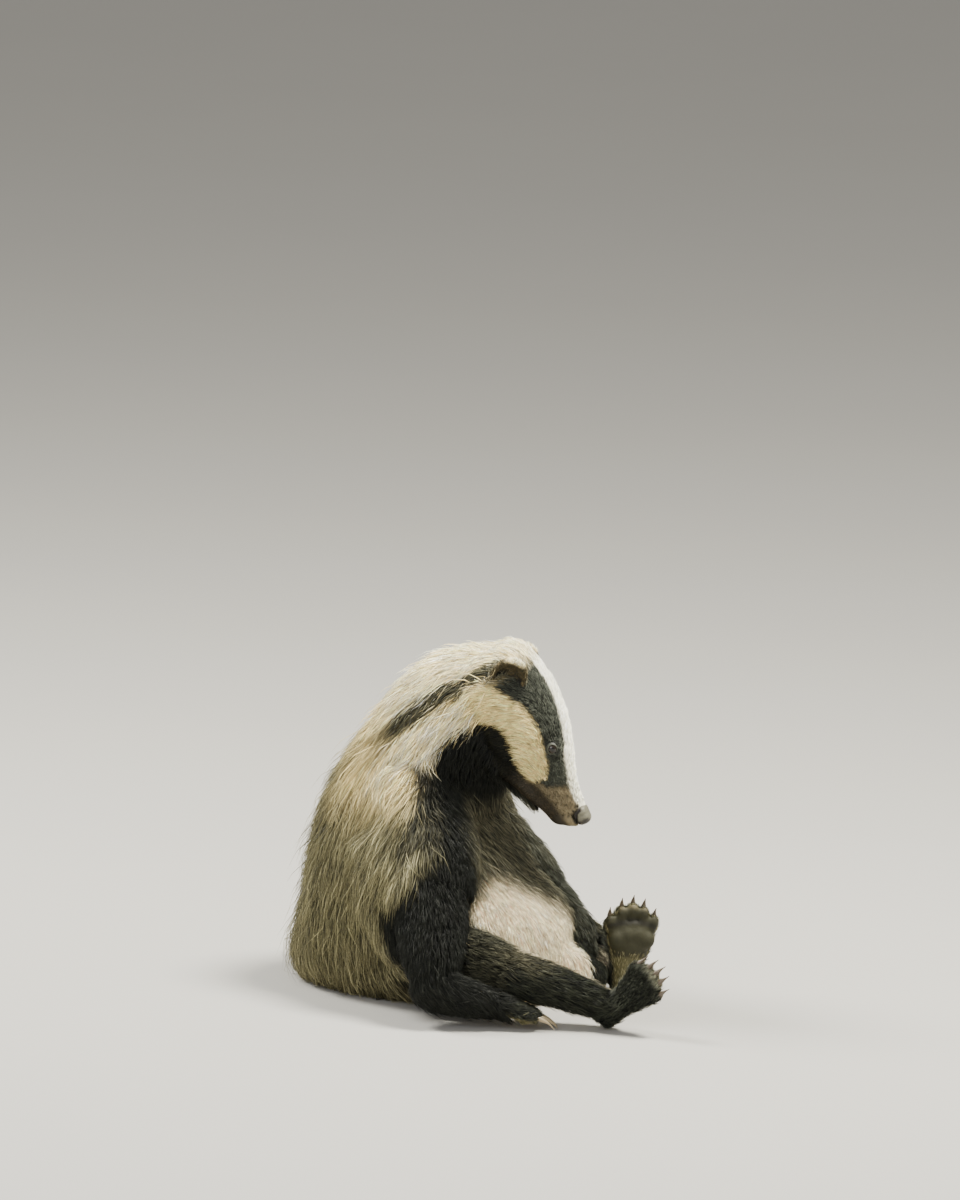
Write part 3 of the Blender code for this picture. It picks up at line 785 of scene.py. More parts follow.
# one coat style: colours at root, middle and tip, length, width and stand in mm, clumping, how many
styles = {
    "flank": ("tan", "dark", "flankTip", 52, 0.85, 13.0, 0.5, 1.1),
    "side": ("tan", "tan", "flankTip", 50, 0.85, 12.0, 0.5, 1.1),
    "shoulder": ("cream", "creamLow", "cream", 42, 0.85, 9.0, 0.5, 1.2),
    "rump": ("rump", "dark", "paleTip", 48, 0.9, 11.0, 0.5, 1.1),
    "nape": ("white", "cream", "white", 36, 0.8, 8.0, 0.45, 1.5),
    "neckCream": ("cream", "cream", "white", 31, 0.8, 7.0, 0.45, 1.6),
    "neckDark": ("dark", "black", "tan", 27, 0.95, 6.0, 0.4, 1.4),
    "throat": ("jet", "jet", "black", 22, 0.95, 6.0, 0.4, 1.3),
    "chest": ("chest", "black", "chestTip", 25, 0.9, 6.0, 0.45, 1.4),
    "belly": ("belly", "belly", "bellyTip", 15, 0.6, 3.0, 0.4, 2.0),
    "groin": ("belly", "belly", "bellyTip", 15, 0.7, 3.0, 0.4, 1.8),
    "lowerArm": ("jet", "jet", "black", 21, 0.95, 4.6, 0.5, 1.8),
    "leftArmLitGrey": ("black", "dark", "slate", 21, 0.85, 4.6, 0.45, 2.0),
    "leg": ("jet", "jet", "grey", 19, 0.9, 4.0, 0.45, 1.8),
    "kneeAndLitTop": ("chest", "dark", "chestTip", 15, 0.8, 3.4, 0.4, 2.0),
    "foot": ("jet", "jet", "grey", 9, 0.7, 2.4, 0.3, 3.6),
    "toe": ("dark", "slate", "chestTip", 6, 0.6, 1.6, 0.2, 4.0),
    "sole": ("sole", "solePale", "paleTan", 5, 0.45, 0.9, 0.3, 1.6),
    "headWhite": ("white", "white", "white", 9, 0.6, 1.8, 0.3, 4.8),
    "headBlack": ("jet", "black", "slate", 9, 0.6, 1.7, 0.35, 4.8),
    "headGrey": ("grey", "black", "slate", 7, 0.55, 1.5, 0.3, 5.2),
    "headCream": ("cream", "cream", "cream", 14, 0.65, 2.8, 0.4, 4.2),
    "jaw": ("jet", "jet", "dark", 9, 0.7, 2.0, 0.3, 3.8),
    "muzzle": ("muzzle", "muzzleLow", "muzzle", 5.5, 0.5, 1.2, 0.2, 8.0),
    "lip": ("lip", "lip", "muzzleLow", 4.5, 0.5, 1.0, 0.2, 7.0),
    "earBack": ("earBack", "dark", "earBack", 6, 0.6, 1.4, 0.2, 6.0),
    "earRim": ("white", "cream", "white", 6.5, 0.6, 1.6, 0.3, 7.0),
    "earCup": ("jet", "jet", "dark", 4.5, 0.55, 1.0, 0.2, 4.0),
}


# a look is a row of nine numbers of colour, and then these
hairLength, hairWidth, hairStand, hairClump, hairMany = range(9, 14)


def styleRow(name):
    root, middle, tip, *sizes = styles[name]
    return np.concatenate([tones[root], tones[middle], tones[tip], sizes])


# edges of the markings, in millimetres or degrees
marks = {
    "whiteHalf": ((10, 17, 27, 40, 57, 73, 92, 114, 130, 150), (9, 11, 12.5, 14, 16.5, 18, 18, 18, 17, 18)),
    "blackLow": ((41, 46, 53, 66, 78, 94, 108, 120, 132, 150),
                 (-14, -10, -7, -4.6, -1, 0.5, -3, -10, -17, -22)),
    "blackFront": ((-28, -20, -18, -12, -2, 8), (41, 39, 34, 31, 26, 20)),
    "cheekLow": ((41, 45, 66, 82, 92, 103, 113, 119, 130), (-28, -30, -25, -19, -19, -27, -44, -60, -62)),
    "lipTop": ((5, 14, 24, 36, 50, 66), (-17, -18, -20, -23, -28, -32)),
    "throatEdge": ((5.4, 6.2, 7, 7.5, 8, 11), (126, 121, 111, 107, 103, 103)),
    "armEdge": ((20, 29, 42, 62, 80, 97, 112, 126, 154, 180, 203),
                (30, 22, 12, 12, 20, 34, 42, 44, 36, 34, 36)),
    "bellyTop": ((-60, -41, -35, -24, -12, -3, 5, 16, 24, 33, 50),
                 (2.2, 2.6, 2.9, 3.1, 3.0, 2.75, 2.55, 2.4, 2.2, 1.9, 1.2)),
}


def curve(name, x):
    return np.interp(x, *marks[name])


def coatAt(points, index):
    form, place, normal = body["form"][index], body["place"][index], body["normals"][index]
    t, angle = body["trunkPlace"][index], body["fromBack"][index]
    look = np.tile(styleRow("flank"), (len(points), 1))

    def lay(name, share):
        share = np.clip(share, 0, 1)[:, None]
        look[:] = look * (1 - share) + styleRow(name) * share

    def layNeck(on, d):
        lay("nape", smooth(6.9, 8.7, t) * smooth(64, 56, d) * on)
        lay("neckCream", smooth(5.6, 7.0, t) * smooth(68, 74, d) * on)
        lay("neckDark", smooth(55, 59, d) * smooth(75, 71, d) * smooth(6.4, 7.6, t) * on)
        edge = curve("throatEdge", t)
        lay("throat", smooth(edge - 3, edge + 5, d) * smooth(5.4, 6.6, t) * on)

    d = np.abs(angle)
    onTrunk = (form == 0) * 1.0
    lay("side", smooth(56, 78, d) * smooth(3.8, 5.4, t) * onTrunk)
    lay("rump", np.maximum(smooth(3.4, 2.0, t) * onTrunk, (form == 1) * 1.0))
    lay("shoulder", onTrunk * mixed(smooth(6.2, 7.6, t), smooth(5.0, 6.4, t), smooth(36, 66, d)))
    layNeck(onTrunk, d)
    for part, name in enumerate(formNames):
        on = (form == part) * 1.0
        if name.startswith("upperArm"):
            lay("side", on * smooth(60, 110, points[:, 2] / mm) * 0.7)
        elif name.startswith("forearm"):
            lay("lowerArm", on)

    forward, left, level = -points[:, 1] / mm, points[:, 0] / mm, points[:, 2] / mm
    wobble = 5 * np.sin(forward * 0.31 + level * 0.17) * np.cos(level * 0.23 - left * 0.29)
    hang = 0.45 * look[:, hairLength]  # long hair carries its colour that far down
    sideways = forward * 0.866 - np.abs(left) * 0.5 + wobble
    level = level - hang + wobble
    onArm = np.isin(form, [formNames.index(f"upperArm_{name}") for name in sides])
    front = smooth(-12, 9, sideways - curve("armEdge", level)) * (np.abs(left) > 12)
    lay("chest", smooth(110, 120, d) * smooth(7.2, 6.0, t) * onTrunk)
    lay("chest", front * np.maximum(onTrunk * smooth(6.8, 6.0, t), onArm) * (d > 70))
    nearSide = smooth(10, -25, left)
    # on the near side the arm's front is laid black, and the flank hair beside it too, as painted shade
    armpitShade = onTrunk * smooth(150, 136, d) * (d > 62) * smooth(7.6, 6.8, t)
    lay("lowerArm", front * np.maximum(armpitShade, onArm) * nearSide)
    lay("lowerArm", onArm * smooth(94, 78, level))
    leftArm = np.isin(form, [formNames.index("upperArm_left"), formNames.index("forearm_left")])
    # the far left arm is painted greyer than the right, a painted highlight of the light from behind
    lay("leftArmLitGrey", leftArm * 0.75)
    fromFront = np.where(angle > 0, angle - 180, angle + 180)
    top = curve("bellyTop", fromFront)
    lay("belly", smooth(top + 0.28, top - 0.16, t) * smooth(50, 42, np.abs(fromFront)) * onTrunk)

    for part, name in enumerate(formNames):
        on = (form == part) * 1.0
        kind, name = name.split("_") if "_" in name else (name, None)
        if kind in ("thigh", "shank"):
            inner = smooth(0.15, 0.6, -normal[:, 0] * sides[name])
            lay("leg", on)
            # the thigh takes a little of this paler style; near the knee it is laid on the hair that faces
            # up, a painted highlight
            lay("kneeAndLitTop", on * 0.3 * (kind == "thigh"))
            kneeAndLitTop = smooth(2.4, 3.2, place) if kind == "thigh" else smooth(1.8, 0.8, place)
            lay("kneeAndLitTop", on * kneeAndLitTop * smooth(0.2, 0.8, normal[:, 2]) * 0.8)
            low = 1.0 if name == "right" else smooth(40, 26, points[:, 2] / mm)
            lay("groin", on * inner * low * (0.9 if kind == "thigh" else smooth(3.4, 1.6, place) * 0.75))
        elif kind in ("forepaw", "hindfoot"):
            lay("foot", on)
            local = inFoot(footFrame(*feet[kind][name]), points)
            if kind == "hindfoot":
                lay("toe", on * smooth(58, 64, local[:, 0]) * 0.7)
                lay("sole", on * smooth(0.5, -1.5, local[:, 2]))
                look[:, hairMany] *= 1 - on * smooth(-2, -4, local[:, 2]) * smooth(30, 35, local[:, 0])
            else:
                lay("sole", on * smooth(-2, -4, local[:, 2]))

    onHead = (form == 2) * 1.0
    local = inHead(points)
    back, side, z = -local[:, 0], np.abs(local[:, 1]), local[:, 2]
    lay("jaw", onHead)
    lay("headCream", onHead * smooth(-2.5, 2.5, z - curve("cheekLow", back)) * (back > 40))
    black = np.where(back > 41, smooth(-2, 2, z - curve("blackLow", back)),
                     smooth(-2, 2, back - curve("blackFront", z)))
    lay("headBlack", onHead * black)
    lay("headGrey", onHead * black * smooth(60, 44, back))
    lay("muzzle", onHead * smooth(2, -2, back - curve("blackFront", z)))
    lay("lip", onHead * smooth(3, -3, z - curve("lipTop", back)) * smooth(64, 40, back))
    rear = onHead * smooth(125, 136, back)
    layNeck(rear, d)
    lay("headWhite", onHead * smooth(1.2, -1.2, side - curve("whiteHalf", back)) * (z > -4) * (1 - rear))
    crown = np.maximum(onHead * smooth(98, 112, back), onTrunk * smooth(8.6, 10.4, t)) * smooth(75, 60, d)
    look[:, hairLength] *= 1 - 0.42 * crown
    look[:, hairStand] *= 1 - 0.62 * crown
    # shorter toward the nose
    short = np.maximum(smooth(80, 12, back), smooth(58, 44, back) * (z < -26)) * onHead
    look[:, hairLength] *= 1 - 0.5 * short
    look[:, hairStand] *= 1 - 0.55 * short
    look[:, hairWidth] *= 1 - 0.2 * short
    nearEye = smooth(11, 6, fromEye(points)) * onHead
    look[:, hairLength] *= 1 - 0.55 * nearEye
    look[:, hairStand] *= 1 - 0.6 * nearEye
    look[:, hairMany] *= 1 - np.maximum(smooth(5.6, 5.0, fromEye(points)), smooth(10, 9, back)) * onHead

    # painted shade of the nostril's hollow: the skin along the slit takes the dark jaw colour and grows no
    # tufts
    slit = fromSlit(local) * np.where(form == 2, 1, 99)
    lay("jaw", smooth(2.8, 1.6, slit))
    look[:, hairMany] *= smooth(1.0, 2.0, slit)
    mottle = np.sin(local[:, 0] * 0.9 + local[:, 2] * 0.5 + 1) * np.sin(local[:, 2] * 0.8 - side * 0.7)
    mottle += 0.35 * np.sin(local[:, 0] * 1.5 - local[:, 2] * 2.3 + side)
    lay("lip", onHead * smooth(0.0, 0.9, mottle) * smooth(5, 9, side) * smooth(36, 30, back) * 0.7)
    for name, sign in sides.items():
        on = onEar(points, name) * 1.0
        ear = inEar(points, name)
        lay("earBack", on)
        hollow = np.hypot(ear[:, 0] / earShape["height"], ear[:, 2] / earShape["width"]) < 0.8
        lay("earCup", on * hollow * (ear[:, 1] * sign > -2.5) * smooth(-6, 0, ear[:, 0]))
        lay("earRim", on * smooth(-12, -16, ear[:, 0]))
    return look


body["look"] = coatAt(body["points"], np.arange(len(body["points"])))

# tufts: where they root, how they lie on the skin, and their colours
coat = {
    "tufts": 112000,
    "seed": 11,
    "perClump": 13,
    "astray": 0.07,  # the share of tufts that stand off the others, and how much more
    "astrayStand": 1.6,
    "lowestRoot": 0.0015,
    "lowestTip": 0.0009,
    "longOnHead": 16,  # head hair longer than this grows with the trunk's
    "patch": 0.003,
    "mostTriangles": 190000,
}


def aroundForm(points, form, place):
    around = np.zeros(len(points))
    for index, name in enumerate(formNames):
        on = form == index
        if name == "head":
            local = inHead(points[on])
            around[on] = np.arctan2(local[:, 2] + 15, local[:, 1])
        elif name.startswith(("forepaw", "hindfoot")):
            kind, side = name.split("_")
            local = inFoot(footFrame(*feet[kind][side]), points[on])
            around[on] = np.arctan2(local[:, 2], local[:, 1])
        else:
            if name == "trunk":
                rows = trunk["rows"]
            elif name == "tail":
                rows = tail["rows"]
            else:
                limb, side = name.split("_")
                rows = np.array(limbs[limb][side], float)
            across, up = framesAt(rows, place[on])[1:]
            offset = points[on] - toWorld(pathAt(rows, place[on])[:, :3])
            around[on] = np.arctan2(dot(offset, up), dot(offset, across))
    return around / (2 * np.pi) + 0.5


def skinTriangles(data):
    data.calc_loop_triangles()
    corners = np.empty(len(data.loop_triangles) * 3, np.int32)
    data.loop_triangles.foreach_get("vertices", corners)
    return corners.reshape(-1, 3)


def sowRoots(skin, count, rng):
    corners = skinTriangles(skin.data)
    a, b, c = (body["points"][corners[:, k]] for k in range(3))
    area = np.linalg.norm(np.cross(b - a, c - a), axis=1) / 2
    many = body["look"][corners, hairMany].mean(axis=1)
    level = (a[:, 2] + b[:, 2] + c[:, 2]) / 3
    chance = area * many * (level > coat["lowestRoot"])
    chosen = rng.choice(len(corners), size=count, p=chance / chance.sum())
    u, v = rng.random(count), rng.random(count)
    over = u + v > 1
    u[over], v[over] = 1 - u[over], 1 - v[over]
    w = 1 - u - v
    points = a[chosen] * w[:, None] + b[chosen] * u[:, None] + c[chosen] * v[:, None]
    nearest = corners[chosen, np.stack([w, u, v], axis=1).argmax(axis=1)]
    return points, nearest


skinTree = KDTree(len(body["points"]))
for index, point in enumerate(body["points"]):
    skinTree.insert(point, index)
skinTree.balance()


def nearestSkin(points):
    return np.fromiter((skinTree.find(point)[1] for point in points), int, len(points))


def layTufts(points, index, look, rng, steps):
    count = len(points)
    length = look[:, hairLength] * rng.uniform(0.65, 1.15, count)
    stand = look[:, hairStand] * rng.uniform(0.5, 1.3, count)
    sunk = np.clip(0.1 * length, 0.4, 1.6)
    astray = rng.random(count) < coat["astray"]
    stand = np.where(astray, stand * coat["astrayStand"], stand)
    swirl = rng.normal(0, 0.15, count) + np.where(astray, rng.normal(0, 0.35, count), 0)
    bend = rng.normal(0, 0.14, count)
    here, centres, outs = points.copy(), [], []
    for step in range(steps + 1):
        u = step / steps
        normal, flow = body["normals"][index], body["flow"][index]
        side = np.cross(normal, flow)
        turn = swirl + bend * (u * 2 - 1)
        way = unit(flow * np.cos(turn)[:, None] + side * np.sin(turn)[:, None])
        foot = here - normal * dot(here - body["points"][index], normal)[:, None]
        rise = -sunk + (stand + sunk) * (1 - (1 - u) ** 1.5)
        centres.append(foot + normal * (rise * mm)[:, None])
        outs.append(normal)
        if step < steps:
            here = foot + way * (length / steps * mm)[:, None]
            index = nearestSkin(here)
    return np.stack(centres, axis=1), np.stack(outs, axis=1)


def gatherClumps(points, centres, look, rng):
    count = len(points)
    clumps = rng.choice(count, size=max(1, count // coat["perClump"]), replace=False)
    tree = KDTree(len(clumps))
    for number, index in enumerate(clumps):
        tree.insert(points[index], number)
    tree.balance()
    guide = clumps[np.fromiter((tree.find(point)[1] for point in points), int, count)]
    u = np.linspace(0, 1, centres.shape[1]) ** 1.4
    pull = (look[:, hairClump] * rng.uniform(0.3, 1.25, count))[:, None] * u[None]
    return centres + (centres[guide] - centres) * np.clip(pull, 0, 0.9)[..., None]


def tuftColours(look, rng, steps):
    count = len(look)
    root, middle, tip = look[:, 0:3], look[:, 3:6], look[:, 6:9]
    pick = rng.random(count)[:, None]
    middle = np.where(pick < 0.24, middle * 0.4 + tip * 0.6, middle)  # some tufts are pale, some dark
    root = np.where(pick > 0.8, root * 0.5 + middle * 0.5, root)
    tip = np.where(pick > 0.8, middle * 0.75 + tip * 0.25, tip)
    shade = np.exp(rng.normal(0, 0.24, count))
    shade = np.where(rng.random(count) < 0.06, shade * 0.45, shade)[:, None]
    centre = rng.uniform(0.4, 0.65, count)[:, None]
    colours = []
    for step in range(steps + 1):
        u = step / steps
        toMiddle = smooth(0.1, 1, np.clip(u / centre, 0, 1))
        toTip = smooth(0.0, 1, np.clip((u - centre) / (1 - centre) * 1.2, 0, 1))
        colour = root * (1 - toMiddle) + middle * toMiddle
        colour = (colour * (1 - toTip) + tip * toTip) * shade
        # each tuft is painted darker toward its root, a painted shade deep in the coat
        colours.append(np.clip(colour * (0.6 + 0.4 * min(1, u * 2.2)), 0, 1))
    return np.stack(colours, axis=1)


def tuftMesh(name, centres, outs, width, colours, patches):
    count, rings = centres.shape[0], centres.shape[1] - 1
    ahead = np.gradient(centres, axis=1)
    across = unit(np.cross(ahead, outs))
    out = unit(np.cross(across, ahead))
    u = np.arange(rings) / rings
    taper = (0.75 + 0.25 * np.sin(np.pi * u)) * (1 - u**2.2)
    w = (width[:, None] * taper * mm)[..., None]
    core = centres[:, :rings]
    ring = np.stack([core - across[:, :rings] * w / 2, core + out[:, :rings] * w * 0.5,
                     core + across[:, :rings] * w / 2], axis=2)
    perTuft = rings * 3 + 1
    verts = np.concatenate([ring.reshape(count, -1, 3), centres[:, rings:]], axis=1)
    faces = [(0, 1, 2)]
    for k in range(rings - 1):
        for j in range(3):
            a, b = k * 3 + j, k * 3 + (j + 1) % 3
            faces += [(a, a + 3, b + 3), (a, b + 3, b)]
    last = (rings - 1) * 3
    faces += [(last + j, rings * 3, last + (j + 1) % 3) for j in range(3)]
    faces = np.array(faces)
    corners = (faces[None] + (np.arange(count) * perTuft)[:, None, None]).reshape(-1)
    data = bpy.data.meshes.new(name)
    data.vertices.add(count * perTuft)
    data.vertices.foreach_set("co", verts.reshape(-1).astype(np.float32))
    data.loops.add(len(corners))
    data.loops.foreach_set("vertex_index", corners.astype(np.int32))
    data.polygons.add(len(corners) // 3)
    data.polygons.foreach_set("loop_start", np.arange(0, len(corners), 3, dtype=np.int32))
    data.update(calc_edges=True)
    data.polygons.foreach_set("use_smooth", np.ones(len(corners) // 3, bool))
    tint = np.ones((count, perTuft, 4))
    tint[:, : rings * 3, :3] = np.repeat(colours[:, :rings], 3, axis=1)
    tint[:, -1, :3] = colours[:, rings]
    layer = data.attributes.new("coatColour", "FLOAT_COLOR", "POINT")
    layer.data.foreach_set("color", tint.reshape(-1).astype(np.float32))
    local = np.zeros((perTuft, 2))
    for k in range(rings):
        for j in range(3):
            local[k * 3 + j] = ((j - 1) * 0.5, k / rings - 0.5)
    local[-1] = (0, 0.5)
    spots = patches[:, None] + local[None] * coat["patch"]
    unwrap = data.uv_layers.new(name="OFBake")
    unwrap.data.foreach_set("uv", spots.reshape(-1, 2)[corners].reshape(-1).astype(np.float32))
    return data


# each coat piece: the forms that it grows on and how many bends a tuft has
coatPieces = {
    "coatTrunk": (("trunk", "tail", "head"), 3),
    "coatArms": (("upperArm_left", "upperArm_right", "forearm_left", "forearm_right"), 3),
    "coatLegs": (("thigh_left", "thigh_right", "shank_left", "shank_right"), 2),
    "coatHead": (("head",), 2),
    "coatFeet": (("forepaw_left", "forepaw_right", "hindfoot_left", "hindfoot_right"), 2),
}
slotOf = {"coatTrunk": "coat", "coatHead": "face"}  # dark_fur elsewhere


def growCoat(skin):
    rng = np.random.default_rng(coat["seed"])
    points, index = sowRoots(skin, coat["tufts"], rng)
    form, place = body["form"][index], body["place"][index]
    look = coatAt(points, index)
    around = aroundForm(points, form, place)
    made, total = [], 0
    for name, (grown, steps) in coatPieces.items():
        kinds = [formNames.index(part) for part in grown]
        grows = np.isin(form, kinds) & (look[:, hairMany] > 0.3)
        if "head" in grown:
            long = look[:, hairLength] > coat["longOnHead"]
            grows &= (form != 2) | (long == (name == "coatTrunk"))
        on = np.nonzero(grows)[0]
        centres, outs = layTufts(points[on], index[on], look[on], rng, steps)
        centres = gatherClumps(points[on], centres, look[on], rng)
        centres[..., 2] = np.maximum(centres[..., 2], coat["lowestTip"])
        colours = tuftColours(look[on], rng, steps)
        width = look[on, hairWidth] * rng.uniform(0.75, 1.25, len(on))
        each = 6 * (steps - 1) + 4
        runs = max(1, math.ceil(len(on) * each / coat["mostTriangles"]))
        order = np.lexsort((place[on], form[on]))
        for run, part in enumerate(np.array_split(order, runs)):
            kind = np.searchsorted(kinds, form[on[part]]) if len(kinds) > 1 else np.zeros(len(part))
            low, high = place[on[part]].min(), place[on[part]].max()
            u = (kind + around[on[part]]) / len(kinds)
            v = (place[on[part]] - low) / max(high - low, 1e-6)
            patches = np.stack([u, v], axis=1) * 0.994 + 0.003
            title = name if runs == 1 else f"{name}{run + 1}"
            data = tuftMesh(title, centres[part], outs[part], width[part], colours[part], patches)
            piece = addObject(title, data)
            piece["slotName"] = slotOf.get(name, "dark_fur")
            made.append(piece)
            total += len(piece.data.polygons)
        print(name, "grown:", len(on), "tufts in", runs, "pieces")
    print("coat triangles:", total)
    return made


coatMade = growCoat(skin)


# eyes, lids, nose and claws
def headPiece(name, points, faces, slot):
    data = bpy.data.meshes.new(name)
    data.from_pydata(fromHead(points).tolist(), [], faces)
    outward(data)
    data.polygons.foreach_set("use_smooth", np.ones(len(data.polygons), bool))
    piece = addObject(name, data)
    piece["slotName"] = slot
    return piece


def buildEye(name):
    centre, axes = eyeFrame(name)
    radius = head["eyeRadius"]
    ball = ballForm((0, 0, 0), (radius,) * 3, np.eye(3), 48, 32)
    points, faces = skinned(ball)
    bulge = smooth(0.72, 1.0, points[:, 2] / radius)
    made = headPiece(f"eyeball_{name}", centre + (points * (1 + 0.045 * bulge[:, None])) @ axes, faces, "eye")
    layer = made.data.attributes.new("fromPupil", "FLOAT", "POINT")
    apart = np.hypot(points[:, 0], points[:, 1]) / radius + (points[:, 2] < 0)
    layer.data.foreach_set("value", apart.astype(np.float32))
    return made


def buildLids(name):
    centre, axes = eyeFrame(name)
    radius = head["eyeRadius"]
    angle = 2 * np.pi * np.arange(44) / 44
    wide, high = eye["aperture"]
    ringX, ringY = wide * np.cos(angle), high * np.sin(angle) * (1 - 0.10 * np.cos(angle) ** 4)
    ringX = ringX * (1 + 0.16 * np.maximum(np.cos(angle - 0.35), 0) ** 12)  # the corner toward the nose
    rings = []
    for reach, height, shade in eye["lid"]:
        x, y = ringX * reach, ringY * reach
        flat = min(reach, 1.25)
        z = np.sqrt(radius**2 - (ringX * flat) ** 2 - (ringY * flat) ** 2) - (reach - flat) * 2.6
        rings.append(np.stack([x, y, z + height], axis=-1))
    rings = np.array(rings)
    count, around = rings.shape[:2]
    faces = []
    for ring in range(count):
        after = (ring + 1) % count
        for step in range(around):
            beyond = (step + 1) % around
            here, there = ring * around, after * around
            faces.append((here + step, here + beyond, there + beyond, there + step))
    made = headPiece(f"lids_{name}", centre + rings.reshape(-1, 3) @ axes, faces, "face")
    layer = made.data.attributes.new("lidShade", "FLOAT", "POINT")
    shades = np.array([shade for reach, height, shade in eye["lid"]], np.float32)
    layer.data.foreach_set("value", np.repeat(shades, around))
    return made


def headBlock(centre, radii, roundness):
    ball = ballForm((0, 0, 0), (1, 1, 1))
    ball = np.sign(ball) * np.abs(ball) ** roundness
    return skinned(fromHead(ball * np.array(radii) + np.array(centre)))


def buildNose():
    forms = [headBlock(nose["place"], nose["radii"], 0.72), headBlock(*nose["rear"], 0.8)]
    data = joinForms("nosePad", forms)
    outward(data)
    piece = addObject("nosePad", data)
    remesh = piece.modifiers.new("remesh", "REMESH")
    remesh.mode = "VOXEL"
    remesh.voxel_size = nose["voxel"]
    relax = piece.modifiers.new("relax", "SMOOTH")
    relax.iterations = 4
    applied(piece)
    points = inHead(coordinates(piece.data))
    inward = unit(np.array(nose["place"]) - points)
    depth = np.zeros(len(points))
    spots = slitSpots()
    for u, spot in zip(np.linspace(0, 1, len(spots)), spots):  # from the nostril back along its slit
        reach, sunk = 2.0 - 1.2 * u**0.6, 4.0 - 2.6 * u**0.6
        for side in sides.values():
            gap = np.linalg.norm(points - spot * (1, side, 1), axis=1) / reach
            depth = np.maximum(depth, sunk * np.exp(-(gap**2)))
    middle = np.exp(-((points[:, 1] / 0.8) ** 2)) * smooth(-3, -6, points[:, 2])
    depth = np.maximum(depth, nose["groove"] * middle)
    pressed = fromHead(points + inward * depth[:, None])
    piece.data.vertices.foreach_set("co", pressed.reshape(-1).astype(np.float32))
    piece.data.polygons.foreach_set("use_smooth", np.ones(len(piece.data.polygons), bool))
    # painted shade on the nose pad: darker in the nostril slits and the middle groove as deep as they are
    # pressed, on the underside, low at the rear sides and low at the front
    layer = piece.data.attributes.new("paintedNoseShade", "FLOAT", "POINT")
    x, y, z = points.T
    rear = smooth(-4.2, -5.8, x) * smooth(3.0, 6.0, np.abs(y)) * smooth(0.0, -3.6, z)
    front = 0.9 * smooth(0.8, 2.8, x) * smooth(1.6, -1.0, z)
    dark = np.clip(smooth(0.4, 1.4, depth) + smooth(-6.4, -9.6, z) + rear + front, 0, 1)
    layer.data.foreach_set("value", dark.astype(np.float32))
    piece.data.update()
    piece["slotName"] = "nose"
    return piece


claws = {
    "forepaw": {"length": 21.0, "drop": 7.0, "thick": 2.2, "lift": 0.5},
    "hindfoot": {"length": 13.0, "drop": 4.5, "thick": 2.7, "lift": 1.6},
    "ringsAlong": 12,
}


def clawTree(material):
    tree = bpy.data.node_groups.new("clawTree", "GeometryNodeTree")
    face = tree.interface
    face.new_socket("Geometry", in_out="INPUT", socket_type="NodeSocketGeometry")
    for label, value in (("Length", 0.02), ("Drop", 0.006), ("Thickness", 0.0022)):
        socket = face.new_socket(label, in_out="INPUT", socket_type="NodeSocketFloat")
        socket.default_value = value
    face.new_socket("Geometry", in_out="OUTPUT", socket_type="NodeSocketGeometry")
    node, link = tree.nodes.new, tree.links.new
    given, result = node("NodeGroupInput"), node("NodeGroupOutput")
    bezier = node("GeometryNodeCurveQuadraticBezier")
    bezier.inputs["Resolution"].default_value = claws["ringsAlong"]
    bezier.inputs["Start"].default_value = (-0.004, 0, 0)
    bend, tip = node("ShaderNodeCombineXYZ"), node("ShaderNodeCombineXYZ")
    half, down, high = node("ShaderNodeMath"), node("ShaderNodeMath"), node("ShaderNodeMath")
    half.operation = down.operation = high.operation = "MULTIPLY"
    half.inputs[1].default_value = 0.62
    down.inputs[1].default_value = -1.0
    high.inputs[1].default_value = 0.22
    link(given.outputs["Length"], half.inputs[0])
    link(given.outputs["Drop"], down.inputs[0])
    link(given.outputs["Drop"], high.inputs[0])
    link(half.outputs[0], bend.inputs["X"])
    link(high.outputs[0], bend.inputs["Z"])
    link(given.outputs["Length"], tip.inputs["X"])
    link(down.outputs[0], tip.inputs["Z"])
    link(bend.outputs[0], bezier.inputs["Middle"])
    link(tip.outputs[0], bezier.inputs["End"])
    along, narrow = node("GeometryNodeSplineParameter"), node("ShaderNodeMapRange")
    narrow.interpolation_type = "SMOOTHSTEP"
    for label, value in (("From Min", 0.3), ("From Max", 1.0), ("To Min", 1.0), ("To Max", 0.12)):
        narrow.inputs[label].default_value = value
    link(along.outputs["Factor"], narrow.inputs["Value"])
    radius = node("ShaderNodeMath")
    radius.operation = "MULTIPLY"
    link(narrow.outputs["Result"], radius.inputs[0])
    link(given.outputs["Thickness"], radius.inputs[1])
    setRadius = node("GeometryNodeSetCurveRadius")
    link(bezier.outputs[0], setRadius.inputs["Curve"])
    link(radius.outputs[0], setRadius.inputs["Radius"])
    ring = node("GeometryNodeCurvePrimitiveCircle")
    ring.inputs["Resolution"].default_value = 12
    ring.inputs["Radius"].default_value = 1.0
    sweep = node("GeometryNodeCurveToMesh")
    sweep.inputs["Fill Caps"].default_value = True
    link(setRadius.outputs[0], sweep.inputs["Curve"])
    link(ring.outputs[0], sweep.inputs["Profile Curve"])
    if "Scale" in sweep.inputs:
        link(radius.outputs[0], sweep.inputs["Scale"])
    spread = node("GeometryNodeInstanceOnPoints")
    link(given.outputs["Geometry"], spread.inputs["Points"])
    link(sweep.outputs[0], spread.inputs["Instance"])
    turn = node("GeometryNodeInputNamedAttribute")
    turn.data_type = "FLOAT_VECTOR"
    turn.inputs["Name"].default_value = "clawTurn"
    link(turn.outputs["Attribute"], spread.inputs["Rotation"])
    real, shade = node("GeometryNodeRealizeInstances"), node("GeometryNodeSetShadeSmooth")
    finish = node("GeometryNodeSetMaterial")
    finish.inputs["Material"].default_value = material
    link(spread.outputs[0], real.inputs[0])
    link(real.outputs[0], shade.inputs[0])
    link(shade.outputs[0], finish.inputs[0])
    link(finish.outputs[0], result.inputs[0])
    return tree


